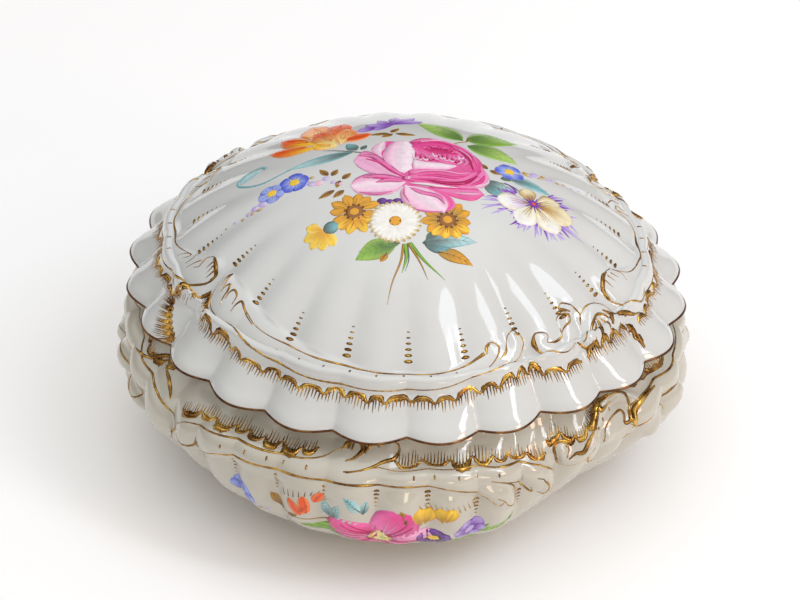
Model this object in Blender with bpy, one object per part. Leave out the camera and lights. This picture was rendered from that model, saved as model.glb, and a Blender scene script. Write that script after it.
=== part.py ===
"""Lobed porcelain trinket box: a bowl-shaped base and a lift-off domed lid.

The plan is a four-lobed oval. Each lobe carries six scallops, and the lid's rim has a cusp
between each two. Both pieces are lofts through lobed rings, because a turned shape can't
change its plan from the round foot to the scalloped rim.
Origin: centre of the foot's underside. +X runs along the box, +Z is up. Units are metres.
"""

import math

import bmesh
import bpy

MM = 0.001

# Driving dimensions
LID_HALF_LENGTH = 79.0 * MM
LID_HALF_WIDTH = 73.5 * MM
BELLY_HALF_LENGTH = 82.5 * MM
BELLY_HALF_WIDTH = 80.5 * MM
RIM_HEIGHT = 50.0 * MM
DOME_TOP = 89.0 * MM
WALL = 3.6 * MM
SEAT_GAP = 0.3 * MM
COLLAR_GAP = 1.2 * MM
COLLAR_DROP = 4.0 * MM
FOOT_INSET = 30.2  # millimetres from the belly in to the foot's outer edge
FOOT_LAND = 3.5 * MM

# Plan of the lobes and scallops
LOBES = 4
SCALLOPS = 24
STEPS_PER_SCALLOP = 3
STEPS = SCALLOPS * STEPS_PER_SCALLOP
RIM_NOTCHES = (0.02, 0.055)  # at the creased corners and at the scrolled corners
BELLY_NOTCHES = (0.03, 0.09)
NOTCH_SHARPNESS = 0.9
SCALLOP_MEAN = 0.64

# Lid section, as shares of the lid's half length and half width
BAND_SHARE = 0.845
BAND_HEIGHT = RIM_HEIGHT + 13.8 * MM
DOME_POWER = 2.4
COLLAR_SHARE = 0.835
SEAT_SHARE = 0.915

COLOURS = {
    "box_base": (0.80, 0.79, 0.74),
    "box_lid": (0.84, 0.84, 0.82),
}


def ring(half_x, half_y, height, notches, lobing=1.0, scallop=0.0):
    """Points of one lobed and scalloped ring, counter-clockwise seen from above.

    The creased corners are where X and Y have the same sign, the scrolled ones where they differ.
    """
    points = []
    for step in range(STEPS):
        angle = 2 * math.pi * step / STEPS
        creased, scrolled = notches
        notch = creased if math.sin(2 * angle) > 0 else scrolled
        lobe = 1 - lobing * notch * (1 - abs(math.cos(angle * LOBES / 2)) ** NOTCH_SHARPNESS)
        swell = scallop * (abs(math.sin(angle * SCALLOPS / 2)) - SCALLOP_MEAN)
        x = (half_x * lobe + swell) * math.cos(angle)
        y = (half_y * lobe + swell) * math.sin(angle)
        points.append((x, y, height))
    return points


def dome_height(share):
    """Height of the lid's outer face at a share of its half length."""
    return BAND_HEIGHT + (DOME_TOP - BAND_HEIGHT) * (1 - (share / BAND_SHARE) ** DOME_POWER)


def lid_ring(share, height, scallop=0.0):
    """A ring of the lid. The lobes fade towards its centre."""
    half_x = LID_HALF_LENGTH * share
    half_y = LID_HALF_WIDTH * share
    return ring(half_x, half_y, height, RIM_NOTCHES, share**2, scallop)


def loft(name, first_pole, rings, last_pole):
    """A closed solid: a fan at each pole and bands of faces between the rings."""
    mesh = bpy.data.meshes.new(name)
    bm = bmesh.new()
    start = bm.verts.new(first_pole)
    rows = [[bm.verts.new(point) for point in points] for points in rings]
    end = bm.verts.new(last_pole)
    for i in range(STEPS):
        j = (i + 1) % STEPS
        bm.faces.new((start, rows[0][i], rows[0][j]))
        for upper, lower in zip(rows, rows[1:]):
            bm.faces.new((upper[i], lower[i], lower[j], upper[j]))
        bm.faces.new((end, rows[-1][j], rows[-1][i]))
    bmesh.ops.recalc_face_normals(bm, faces=bm.faces)
    bm.to_mesh(mesh)
    bm.free()
    mesh.shade_smooth()
    mesh.set_sharp_from_angle(angle=math.radians(50))
    return bpy.data.objects.new(name, mesh)


def porcelain(name):
    """Glazed porcelain in the piece's own shade."""
    material = bpy.data.materials.new(name + "_glaze")
    material.use_nodes = True
    shader = material.node_tree.nodes["Principled BSDF"]
    shader.inputs["Base Color"].default_value = (*COLOURS[name], 1.0)
    shader.inputs["Roughness"].default_value = 0.12
    shader.inputs["Metallic"].default_value = 0.0
    return material


def build_lid():
    """Domed lid with a flared scalloped flange, a flat seat and a collar that locates it."""
    outer = [
        lid_ring(share, dome_height(share), flute * MM)
        for share, flute in ((0.14, 0), (0.30, 0), (0.46, 0), (0.60, 0.3), (0.73, 0.6))
    ]
    outer += [
        lid_ring(BAND_SHARE, BAND_HEIGHT, 0.9 * MM),
        lid_ring(0.885, RIM_HEIGHT + 10.2 * MM, 1.4 * MM),
        lid_ring(0.945, RIM_HEIGHT + 5.6 * MM, 2.6 * MM),
        lid_ring(1.003, RIM_HEIGHT + 1.2 * MM, 3.6 * MM),
    ]
    seat = RIM_HEIGHT + 2 * SEAT_GAP
    collar_inner = COLLAR_SHARE - WALL / LID_HALF_LENGTH
    under = [
        lid_ring(1.0, RIM_HEIGHT, 3.6 * MM),
        lid_ring(0.955, RIM_HEIGHT + 2.2 * MM, 2.0 * MM),
        lid_ring(SEAT_SHARE, seat),
        lid_ring(COLLAR_SHARE, seat),
        lid_ring(COLLAR_SHARE, RIM_HEIGHT - COLLAR_DROP),
        lid_ring(collar_inner, RIM_HEIGHT - COLLAR_DROP),
        lid_ring(collar_inner, RIM_HEIGHT + 10.0 * MM),
    ]
    under += [lid_ring(share, dome_height(share) - WALL) for share in (0.72, 0.58, 0.42, 0.2)]
    return loft("box_lid", (0, 0, DOME_TOP), outer + under, (0, 0, DOME_TOP - WALL))


def build_base():
    """Bowl with a mouth, a fluted neck, a bulging lobed belly and a foot ring."""
    mouth = COLLAR_SHARE + COLLAR_GAP / LID_HALF_LENGTH
    land = RIM_HEIGHT + SEAT_GAP
    inside = [
        ring(half_x * MM, half_y * MM, height * MM, BELLY_NOTCHES, lobing)
        for half_x, half_y, height, lobing in (
            (28.0, 26.5, 7.0, 0.0),
            (46.0, 43.5, 8.0, 0.2),
            (61.0, 58.5, 13.2, 0.6),
            (71.0, 68.5, 21.0, 0.9),
            (77.0, 74.5, 30.0, 1.0),
            (75.0, 71.0, 38.5, 0.9),
        )
    ]
    inside.append(lid_ring(mouth, RIM_HEIGHT - 5.0 * MM))
    rim = [lid_ring(mouth, land), lid_ring(0.915, land, 0.6 * MM)]
    neck = [
        lid_ring(0.905, RIM_HEIGHT - 2.5 * MM, 1.2 * MM),
        lid_ring(0.935, RIM_HEIGHT - 5.6 * MM, 1.6 * MM),
    ]
    belly = [
        ring(
            BELLY_HALF_LENGTH - inset * MM,
            BELLY_HALF_WIDTH - inset * MM,
            height * MM,
            BELLY_NOTCHES,
            lobing,
            flute * MM,
        )
        for inset, height, lobing, flute in (
            (4.6, 40.6, 0.9, 1.6),
            (1.2, 36.4, 1.0, 1.2),
            (0.0, 31.0, 1.0, 0.8),
            (0.8, 25.4, 1.0, 0.4),
            (4.2, 19.0, 0.9, 0.0),
            (10.4, 12.8, 0.75, 0.0),
            (18.4, 8.0, 0.6, 0.0),
            (26.5, 4.8, 0.3, 0.0),
            (FOOT_INSET - 0.4, 2.6, 0.2, 0.0),
            (FOOT_INSET, 0.0, 0.2, 0.0),
        )
    ]
    land_x = BELLY_HALF_LENGTH - FOOT_INSET * MM - FOOT_LAND
    land_y = BELLY_HALF_WIDTH - FOOT_INSET * MM - FOOT_LAND
    slope = 1.4 * MM
    foot = [
        ring(land_x, land_y, 0.0, BELLY_NOTCHES, 0.2),
        ring(land_x - slope, land_y - slope, 2.6 * MM, BELLY_NOTCHES, 0.2),
    ]
    return loft("box_base", (0, 0, 7.0 * MM), inside + rim + neck + belly + foot, (0, 0, 3.0 * MM))


def main():
    for old in list(bpy.data.objects):
        bpy.data.objects.remove(old, do_unlink=True)
    parts = bpy.data.collections.new("porcelain_trinket_box")
    bpy.context.scene.collection.children.link(parts)
    for piece in (build_base(), build_lid()):
        piece.data.materials.append(porcelain(piece.name))
        parts.objects.link(piece)


main()
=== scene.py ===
"""Looks of the lobed porcelain trinket box: moulded glaze, gilding and enamel flowers.

Lengths are millimetres and angles are degrees until a mesh is made.
A place on the lid is (angle, share): the angle round the plan's ellipse, and the share of the
lid's half length. A place on the base is (angle, drop): the drop is the distance down the
outside, from the mouth. The moulded and gilt ornament has two-fold symmetry, so it is drawn for
half of the box and turned by half a turn.

Known fault: the points of LID_SCROLLS and BASE_SCROLLS, of the strokes in
gild_lid and gild_base, and of some painted leaves and blooms come from a separate projection
program, and TRIM was set from another program's figures. They are not values set by hand.
"""

import math

import bpy
import numpy as np
from mathutils import Matrix, Vector


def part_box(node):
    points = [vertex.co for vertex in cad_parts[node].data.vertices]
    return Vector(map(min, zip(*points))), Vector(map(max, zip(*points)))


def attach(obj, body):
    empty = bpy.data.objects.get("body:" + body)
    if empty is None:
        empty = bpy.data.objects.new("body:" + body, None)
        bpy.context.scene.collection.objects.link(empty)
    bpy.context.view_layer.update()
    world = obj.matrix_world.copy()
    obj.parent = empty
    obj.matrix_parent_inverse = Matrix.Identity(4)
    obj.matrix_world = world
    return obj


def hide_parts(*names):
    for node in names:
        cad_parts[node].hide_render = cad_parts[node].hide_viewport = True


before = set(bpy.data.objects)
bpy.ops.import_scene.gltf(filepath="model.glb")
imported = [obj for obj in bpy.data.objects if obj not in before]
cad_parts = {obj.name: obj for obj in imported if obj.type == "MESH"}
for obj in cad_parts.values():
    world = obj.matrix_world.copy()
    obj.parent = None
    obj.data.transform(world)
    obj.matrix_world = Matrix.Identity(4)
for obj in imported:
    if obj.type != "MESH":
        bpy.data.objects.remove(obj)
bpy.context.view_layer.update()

MM = 0.001
RNG = np.random.default_rng(7)

# ---------------------------------------------------------------- sizes, from the frame
lid_low, lid_high = (np.array(corner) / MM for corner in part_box("box_lid"))
_, base_high = (np.array(corner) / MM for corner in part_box("box_base"))
SCALLOP_REACH = 0.7  # the scallops stand this far past the rim's own ellipse
LID_HALF_LENGTH = lid_high[0] - SCALLOP_REACH
LID_HALF_WIDTH = lid_high[1] - SCALLOP_REACH
BELLY_HALF_LENGTH = base_high[0] + 0.15
BELLY_HALF_WIDTH = base_high[1] + 0.15
DOME_TOP = lid_high[2]
SEAT_GAP = 0.3
RIM_HEIGHT = base_high[2] - SEAT_GAP
WALL = 3.6
COLLAR_DROP = RIM_HEIGHT - lid_low[2]

# Plan and section, as in the CAD
SCALLOPS = 24
BELLY_FLUTES = 36
SCALLOP_MEAN = 0.64
RIM_NOTCHES = (0.02, 0.055)
BELLY_NOTCHES = (0.03, 0.09)
NOTCH_SHARPNESS = 0.9
BAND_SHARE = 0.845
BAND_HEIGHT = RIM_HEIGHT + 13.8
DOME_POWER = 2.4
COLLAR_SHARE = 0.835
SEAT_SHARE = 0.915
MOUTH_SHARE = COLLAR_SHARE + 1.2 / LID_HALF_LENGTH

COLUMNS = 720
ANGLES = np.arange(COLUMNS) * 360.0 / COLUMNS
HALF_TURNS = (0.0, 180.0)


# ---------------------------------------------------------------- numeric helpers
def smoothstep(low, high, value):
    t = np.clip((np.asarray(value, float) - low) / (high - low), 0, 1)
    return t * t * (3 - 2 * t)


def curve(points, steps):
    """A smooth curve through the points, as an array of steps points (Catmull-Rom)."""
    p = np.asarray(points, float)
    if len(p) == 2:
        return p[0] + (p[1] - p[0]) * np.linspace(0, 1, steps)[:, None]
    p = np.vstack((2 * p[0] - p[1], p, 2 * p[-1] - p[-2]))
    t = np.linspace(0, len(p) - 3 - 1e-9, steps)
    i = t.astype(int)
    f = (t - i)[:, None]
    a, b, c, d = p[i], p[i + 1], p[i + 2], p[i + 3]
    return 0.5 * (
        2 * b + (c - a) * f + (2 * a - 5 * b + 4 * c - d) * f**2 + (3 * b - a - 3 * c + d) * f**3
    )


def ripple(angle, count, valley=0.12):
    """The outline of round scallops with narrow valleys between them, about zero on average."""
    wave = np.sin(np.radians(angle) * count / 2)
    return np.sqrt(wave**2 + valley**2) - SCALLOP_MEAN


def lobed(half_x, half_y, height, angle, notches, strength, swell):
    """Points of a lobed ring. Creased corners lie where X and Y have the same sign."""
    twice = np.radians(2 * angle)
    depth = np.where(np.sin(twice) > 0, notches[0], notches[1]) * strength
    lobe = 1 - depth * (1 - np.abs(np.cos(twice)) ** NOTCH_SHARPNESS)
    turn = np.radians(angle)
    x = (half_x * lobe + swell) * np.cos(turn)
    y = (half_y * lobe + swell) * np.sin(turn)
    return np.stack(np.broadcast_arrays(x, y, height), -1)


# ---------------------------------------------------------------- the two surfaces
FLANGE = curve(
    [(0.70, 0.0), (BAND_SHARE, 13.8), (0.885, 10.2), (0.945, 5.6), (0.985, 2.9), (1.003, 1.2)], 90
)


def lid_height(share):
    """Height of the lid's outside: a dome, then the band's steep shoulder and the flared flange."""
    inner = np.minimum(share, BAND_SHARE) / BAND_SHARE
    dome = BAND_HEIGHT + (DOME_TOP - BAND_HEIGHT) * (1 - inner**DOME_POWER)
    flange = RIM_HEIGHT + np.interp(share, FLANGE[15:, 0], FLANGE[15:, 1])
    return np.where(share < BAND_SHARE, dome, flange)


def lid_surface(angle, share):
    reach = np.interp(share, (0.5, 0.73, 0.845, 0.885, 0.945, 1.003), (0, 0.3, 0.6, 1.2, 2.6, 3.6))
    return lobed(
        LID_HALF_LENGTH * share,
        LID_HALF_WIDTH * share,
        lid_height(share),
        angle,
        RIM_NOTCHES,
        share**2,
        reach * ripple(angle, SCALLOPS, 0.04),
    )


def lid_ring(share, height, swell=0.0):
    return lobed(
        LID_HALF_LENGTH * share,
        LID_HALF_WIDTH * share,
        height,
        ANGLES,
        RIM_NOTCHES,
        share**2,
        swell * ripple(ANGLES, SCALLOPS, 0.04),
    )


# The base's outside, mouth to foot: half length, half width, height, strength of both corner
# notches and depth of the flutes
BASE_PROFILE = np.array(
    [
        (LID_HALF_LENGTH * 0.915, LID_HALF_WIDTH * 0.915, RIM_HEIGHT + 0.3, 0.017, 0.046, 0.2),
        (LID_HALF_LENGTH * 0.905, LID_HALF_WIDTH * 0.905, RIM_HEIGHT - 2.5, 0.017, 0.046, 1.0),
        (LID_HALF_LENGTH * 0.935, LID_HALF_WIDTH * 0.935, RIM_HEIGHT - 5.6, 0.020, 0.055, 1.5),
    ]
    + [
        (
            BELLY_HALF_LENGTH - inset,
            BELLY_HALF_WIDTH - inset,
            height,
            BELLY_NOTCHES[0] * strength,
            BELLY_NOTCHES[1] * strength,
            flute,
        )
        for inset, height, strength, flute in (
            (4.6, 40.6, 0.9, 1.1),
            (1.8, 36.4, 1.0, 2.0),
            (0.9, 31.0, 1.0, 3.2),
            (1.7, 25.4, 1.0, 3.2),
            (4.8, 19.0, 0.9, 1.9),
            (10.4, 12.8, 0.75, 0.0),
            (18.4, 8.0, 0.6, 0.0),
            (26.5, 4.8, 0.3, 0.0),
            (29.8, 2.4, 0.2, 0.0),
            (30.2, 0.0, 0.2, 0.0),
        )
    ]
)
BASE_CURVE = curve(BASE_PROFILE, 260)
BASE_DROPS = np.concatenate(([0], np.cumsum(np.hypot(*np.diff(BASE_CURVE[:, [0, 2]], axis=0).T))))


# How far the belly draws in (or, below zero, bulges out) round half of the box, in millimetres
TRIM_ANGLES = (
    0, 47, 54, 60, 67, 75, 84, 95, 105, 115, 125, 131, 136, 140.5, 145, 150, 155, 160, 165, 170, 180
)
TRIM = (
    0, 0.6, 2.4, 2.4, 1.4, 0.7, 0, -0.7, -1.4, -2.0, -2.2, -1.6, 0.2, 2.4, 4.4, 5.8, 6.8, 6.0, 4.0,
    1.8, 0
)


def belly_trim(angle, height):
    """The lobes' own shape below the band: strongest low on the belly, nothing at the neck or foot."""
    share = np.interp(height, (3.0, 9.0, 16.0, 22.0, 31.0, 37.0), (0, 0.55, 1.0, 0.95, 0.40, 0.0))
    return np.interp(np.asarray(angle) % 180.0, TRIM_ANGLES, TRIM) * share


def base_surface(angle, drop):
    values = [np.interp(drop, BASE_DROPS, BASE_CURVE[:, k]) for k in range(6)]
    half_x, half_y, height, creased, scrolled, flute = values
    return lobed(
        half_x,
        half_y,
        height,
        angle,
        (creased, scrolled),
        1.0,
        flute * ripple(angle, BELLY_FLUTES, 0.14) - belly_trim(angle, height),
    )


class Shell:
    """The decorated face of a piece, as a grid of points over (angle, key)."""

    def __init__(self, surface, keys):
        self.surface = surface
        self.keys = keys
        self.points = surface(ANGLES[None, :], keys[:, None])
        self.smooth = self.points.copy()
        self.find_normals()

    def find_normals(self):
        down = np.gradient(self.points, axis=0)
        round_ = np.roll(self.points, -1, axis=1) - np.roll(self.points, 1, axis=1)
        normal = np.cross(down, round_)
        self.normals = normal / np.maximum(np.linalg.norm(normal, axis=-1, keepdims=True), 1e-9)

    def raise_by(self, height):
        """Moves the grid out along its normals."""
        self.points = self.points + self.normals * height[..., None]
        self.find_normals()

    def sample(self, grid, angle, key):
        column = (np.asarray(angle, float) % 360.0) * COLUMNS / 360.0
        row = np.interp(key, self.keys, np.arange(len(self.keys)))
        i = np.minimum(row.astype(int), len(self.keys) - 2)
        j = column.astype(int) % COLUMNS
        k = (j + 1) % COLUMNS
        u = (row - i)[..., None]
        v = (column - column.astype(int))[..., None]
        near = grid[i, j] * (1 - v) + grid[i, k] * v
        far = grid[i + 1, j] * (1 - v) + grid[i + 1, k] * v
        return near * (1 - u) + far * u

    def drape(self, angle, key):
        """Points and normals of the moulded face at these places."""
        angle, key = np.broadcast_arrays(np.asarray(angle, float), np.asarray(key, float))
        normal = self.sample(self.normals, angle, key)
        return self.sample(self.points, angle, key), normal / np.linalg.norm(
            normal, axis=-1, keepdims=True
        )

    def ridge(self, first_edge, second_edge, height, power=1.0, steps=70):
        """The height of a rounded scroll that lies between two edges of the same number of points."""
        one = self.sample(self.smooth, *curve(first_edge, steps).T)
        two = self.sample(self.smooth, *curve(second_edge, steps).T)
        middle = (one + two) / 2
        half = np.linalg.norm(one - two, axis=1) / 2 + 0.15
        field = np.zeros(self.points.shape[:2])
        reach = half.max()
        inside = np.all(
            (self.smooth > middle.min(0) - reach) & (self.smooth < middle.max(0) + reach), axis=-1
        )
        rows, columns = np.nonzero(inside)
        near = self.smooth[rows, columns]
        best = np.full(len(near), 9.0)
        for centre, radius in zip(middle, half):
            best = np.minimum(best, ((near - centre) ** 2).sum(1) / radius**2)
        field[rows, columns] = height * np.clip(1 - best, 0, 1) ** power
        return field


def turned(points, turn):
    """The same places, turned round the box."""
    return [(angle + turn, key) for angle, key in points]


# ---------------------------------------------------------------- moulded ornament
# Each scroll is a pair of edges. The front lobe's band ends in a leaf at the creased corner and in
# hooks at the scrolled corner; the side lobe's band curls at both ends.
LID_SCROLLS = (
    (
        [
            (229.5, 0.735), (238, 0.768), (246, 0.796), (257, 0.812), (270, 0.826), (285, 0.834),
            (296, 0.829), (304, 0.806)
        ],
        [
            (226.5, 0.765), (227.5, 0.822), (235, 0.846), (250, 0.868), (266, 0.876), (285, 0.876),
            (298, 0.870), (312, 0.853)
        ],
        1.0,
    ),
    (
        [
            (176, 0.765), (180, 0.812), (187.5, 0.830), (197.5, 0.832), (205.5, 0.812),
            (211, 0.785), (217, 0.737)
        ],
        [
            (167.5, 0.775), (169, 0.830), (179.5, 0.882), (196, 0.878), (209, 0.872), (220, 0.830),
            (222.5, 0.757)
        ],
        1.0,
    ),
    ([(303, 0.847), (307, 0.812), (307.5, 0.776)], [(300, 0.832), (304.5, 0.805), (305.5, 0.782)], 0.9),
    (
        [(303, 0.866), (310, 0.850), (315.5, 0.812), (314.5, 0.762)],
        [(304, 0.842), (309, 0.822), (311.5, 0.795), (312.2, 0.768)],
        1.1,
    ),
    (
        [
            (322, 0.815), (323, 0.790), (319.5, 0.782), (318, 0.815), (320.5, 0.852), (326, 0.868),
            (330.5, 0.850)
        ],
        [
            (321.5, 0.812), (321.5, 0.806), (321.5, 0.806), (321.5, 0.824), (324, 0.838),
            (326.5, 0.836), (328, 0.800)
        ],
        1.0,
    ),
    (
        [(328, 0.812), (329.5, 0.770), (333, 0.752)],
        [(331.5, 0.800), (332.5, 0.775), (334.5, 0.760)], 1.0
    ),
    (
        [(331, 0.868), (334.5, 0.812), (339, 0.776), (343.5, 0.800), (345, 0.868)],
        [(335, 0.868), (337.5, 0.835), (339.2, 0.815), (340.5, 0.832), (341, 0.872)],
        1.2,
    ),
)
BASE_SCROLLS = (
    (
        [(234, 18.5), (240.5, 14.6), (250, 12.4), (260, 11.8), (267.5, 10.5), (272, 7.0), (279, 4.6)],
        [(240, 22.5), (246, 18.2), (256, 15.4), (268, 14.9), (279, 14.4), (283, 11.5), (283, 6.5)],
        2.0,
    ),
    (
        [(274, 12.4), (287.5, 11.2), (299, 12.0), (309.5, 14.8), (318, 21.5), (317.5, 27.5)],
        [(274, 14.4), (286, 14.8), (297, 17.5), (306, 19.0), (312.5, 22.5), (315, 27.0)],
        2.0,
    ),
    (
        [(296, 16.0), (303, 17.2), (307.5, 20.8), (308, 25.0)],
        [(296, 17.6), (300.5, 21.0), (303.5, 24.0), (305.5, 25.0)], 1.7
    ),
    (
        [
            (319, 16.5), (319.8, 20.0), (323, 21.2), (327.5, 18.3), (331, 12.0), (336, 8.0),
            (341, 12.8), (337.5, 15.6)
        ],
        [
            (321.8, 16.0), (322.4, 17.8), (323.5, 17.4), (326, 15.0), (328.5, 9.5), (336, 4.5),
            (343.5, 12.0), (339, 17.0)
        ],
        2.0,
    ),
    ([(331, 17.5), (327, 20.5), (327, 23.0)], [(333, 16.0), (330.5, 20.5), (329, 23.0)], 1.5),
    (
        [(197, 12.0), (206, 10.5), (215, 13.0), (222, 15.0), (228, 19.0), (231.5, 25.0)],
        [(199, 17.0), (206, 16.5), (213, 19.5), (219.5, 23.0), (224, 27.0), (229, 29.0)],
        2.4,
    ),
    (
        [(196, 21.0), (205, 20.0), (213.5, 22.0), (219.5, 27.5)],
        [(198, 26.0), (206, 26.0), (212, 28.0), (218, 30.0)], 1.9
    ),
    ([(196, 28.0), (204, 28.5), (210.5, 33.0)], [(196, 33.0), (202.5, 34.0), (209.5, 36.0)], 1.5),
    (
        [(158, 17.0), (160, 13.4), (166, 11.6), (176, 12.8), (186, 11.0), (197, 12.0)],
        [(160, 20.5), (164, 19.0), (169, 17.0), (178, 17.5), (187, 16.0), (199, 17.0)],
        2.0,
    ),
    ([(165, 25.0), (169, 20.5), (175, 19.5)], [(169, 27.0), (174, 24.5), (178, 22.0)], 1.9),
)


def soften(field):
    """The field with its steps blurred over the neighbouring cells."""
    field = (np.roll(field, 1, 1) + 2 * field + np.roll(field, -1, 1)) / 4
    padded = np.vstack((field[:1], field, field[-1:]))
    return (padded[:-2] + 2 * padded[1:-1] + padded[2:]) / 4


def mould(shell, scrolls, flutes):
    """Raises the scrolls, with the flutes fading out under them."""
    height = np.zeros(shell.points.shape[:2])
    for first, second, rise in scrolls:
        for turn in HALF_TURNS:
            height = np.maximum(
                height, shell.ridge(turned(first, turn), turned(second, turn), rise, 0.65)
            )
    for _ in range(3):
        height = soften(height)
    clear = 1 - smoothstep(0, 0.5, height)
    shell.raise_by(height + flutes * clear)


def lid_shell():
    keys = np.concatenate(
        (
            np.linspace(0.02, 0.50, 14, endpoint=False),
            np.linspace(0.50, 0.70, 14, endpoint=False),
            np.linspace(0.70, 0.91, 56, endpoint=False),
            np.linspace(0.91, 1.003, 18),
        )
    )
    shell = Shell(lid_surface, keys)
    angle, share = ANGLES[None, :], keys[:, None]
    depth = 1.55 * smoothstep(0.36, 0.80, share) * (1 - smoothstep(0.86, 0.90, share))
    valley = np.interp(share, (0.45, 0.80), (0.9, 0.32))
    mould(shell, LID_SCROLLS, depth * (ripple(angle, SCALLOPS, valley) - 0.45 * valley**1.5))
    return shell


def base_shell():
    keys = np.concatenate((np.linspace(0, 40, 84, endpoint=False), np.linspace(40, BASE_DROPS[-1], 24)))
    shell = Shell(base_surface, keys)
    mould(shell, BASE_SCROLLS, np.zeros(shell.points.shape[:2]))
    return shell


LID = lid_shell()
BASE = base_shell()


# ---------------------------------------------------------------- meshes
def mesh_object(name, points, faces, materials, colours=None, sharp=None):
    mesh = bpy.data.meshes.new(name)
    mesh.from_pydata((np.asarray(points) * MM).tolist(), [], faces)
    if colours is not None:
        layer = mesh.color_attributes.new("paint", "FLOAT_COLOR", "POINT")
        layer.data.foreach_set("color", np.asarray(colours, np.float32).ravel())
    for material in materials:
        mesh.materials.append(material)
    mesh.shade_smooth()
    if sharp:
        mesh.set_sharp_from_angle(angle=math.radians(sharp))
    piece = bpy.data.objects.new(name, mesh)
    bpy.context.scene.collection.objects.link(piece)
    return piece


def loft(name, first_pole, rings, last_pole, materials, unglazed=()):
    """A closed shell of rings. The bands of faces listed in unglazed take the second material."""
    rings = np.asarray(rings)
    count = len(rings)
    points = np.vstack((rings.reshape(-1, 3), [first_pole, last_pole]))
    start, end = count * COLUMNS, count * COLUMNS + 1
    near = np.arange(COLUMNS)
    far = (near + 1) % COLUMNS
    faces = [(start, i, j) for i, j in zip(near.tolist(), far.tolist())]
    bands = [0] * COLUMNS
    for row in range(count - 1):
        a, b = row * COLUMNS, (row + 1) * COLUMNS
        faces += list(zip(
            (a + near).tolist(), (b + near).tolist(), (b + far).tolist(), (a + far).tolist()
        ))
        bands += [1 if row in unglazed else 0] * COLUMNS
    last = (count - 1) * COLUMNS
    faces += [(end, last + j, last + i) for i, j in zip(near.tolist(), far.tolist())]
    bands += [0] * COLUMNS
    piece = mesh_object(name, points, faces, materials, sharp=60)
    piece.data.polygons.foreach_set("material_index", np.array(bands, np.int32))
    return piece


def rounded(start, end, bulge, steps):
    """Section points of a rounded edge from start to end, both excluded: (share, height) pairs."""
    start, end, bulge = (np.asarray(p, float) for p in (start, end, bulge))
    t = np.linspace(0, 1, steps + 2)[1:-1, None]
    return (1 - t) ** 2 * start + 2 * t * (1 - t) * bulge + t**2 * end


def build_lid(glaze, biscuit):
    """The domed lid: moulded outside, rounded rim, flat seat, collar and a hollow inside."""
    rim = rounded((1.003, RIM_HEIGHT + 1.2), (0.985, RIM_HEIGHT + 0.8), (1.008, RIM_HEIGHT + 0.5), 4)
    seat = RIM_HEIGHT + 2 * SEAT_GAP
    inner = COLLAR_SHARE - WALL / LID_HALF_LENGTH
    rings = [lid_ring(share, height, 3.6) for share, height in rim]
    rings += [
        lid_ring(0.985, RIM_HEIGHT + 0.8, 3.0),
        lid_ring(0.955, RIM_HEIGHT + 2.0, 2.0),
        lid_ring(0.925, RIM_HEIGHT + 1.0, 0.4),
        lid_ring(SEAT_SHARE, seat),
        lid_ring(COLLAR_SHARE + 0.004, seat),
        lid_ring(COLLAR_SHARE, seat - 0.3),
        lid_ring(COLLAR_SHARE, RIM_HEIGHT - COLLAR_DROP + 0.8),
        lid_ring(COLLAR_SHARE - 0.008, RIM_HEIGHT - COLLAR_DROP + 0.1),
        lid_ring((COLLAR_SHARE + inner) / 2, RIM_HEIGHT - COLLAR_DROP),
        lid_ring(inner + 0.008, RIM_HEIGHT - COLLAR_DROP + 0.1),
        lid_ring(inner, RIM_HEIGHT - COLLAR_DROP + 0.9),
        lid_ring(inner, RIM_HEIGHT + 7.0),
        lid_ring(inner - 0.012, RIM_HEIGHT + 10.5),
    ]
    rings += [
        lid_ring(share, lid_height(np.float64(share)) - WALL, 0.25)
        for share in np.linspace(0.74, 0.08, 12)
    ]
    first = len(LID.keys) + len(rim) + 3
    piece = loft(
        "lid_porcelain",
        (0, 0, DOME_TOP),
        list(LID.points) + rings,
        (0, 0, DOME_TOP - WALL),
        (glaze, biscuit),
        unglazed=(first - 1, first),
    )
    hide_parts("box_lid")
    return piece


def build_base(glaze, biscuit):
    """The bowl: a glazed inside, a flat unglazed land round the mouth, the belly and the foot."""
    floor = [
        lobed(half_x, half_y, height, ANGLES, BELLY_NOTCHES, strength, -belly_trim(ANGLES, height))
        for half_x, half_y, height, strength in curve(
            [
                (3.0, 3.0, 7.0, 0.0),
                (28.0, 26.5, 7.0, 0.0),
                (42.0, 39.5, 8.4, 0.2),
                (56.0, 53.5, 13.8, 0.6),
                (66.5, 63.5, 21.5, 0.9),
                (73.5, 70.5, 30.0, 1.0),
                (73.5, 69.5, 38.5, 0.9),
            ],
            18,
        )
    ]
    land = RIM_HEIGHT + SEAT_GAP
    mouth = [
        lid_ring(MOUTH_SHARE, RIM_HEIGHT - 5.0),
        lid_ring(MOUTH_SHARE, land - 0.4),
        lid_ring(MOUTH_SHARE + 0.005, land),
        lid_ring(0.910, land),
    ]
    half_x, half_y = BASE_PROFILE[-1][:2]
    foot = [
        lobed(half_x - inset, half_y - inset, height, ANGLES, BELLY_NOTCHES, 0.2, 0.0)
        for inset, height in ((3.5, 0.0), (4.1, 0.4), (4.9, 2.4), (7.0, 3.0))
    ]
    rings = floor + mouth + list(BASE.points) + foot
    land_band = len(floor) + 2
    foot_band = len(floor) + len(mouth) + len(BASE.keys) - 1
    piece = loft(
        "base_porcelain",
        (0, 0, 7.0),
        rings,
        (0, 0, 3.0),
        (glaze, biscuit),
        unglazed=(land_band, land_band + 1, foot_band),
    )
    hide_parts("box_base")
    return piece


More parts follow.
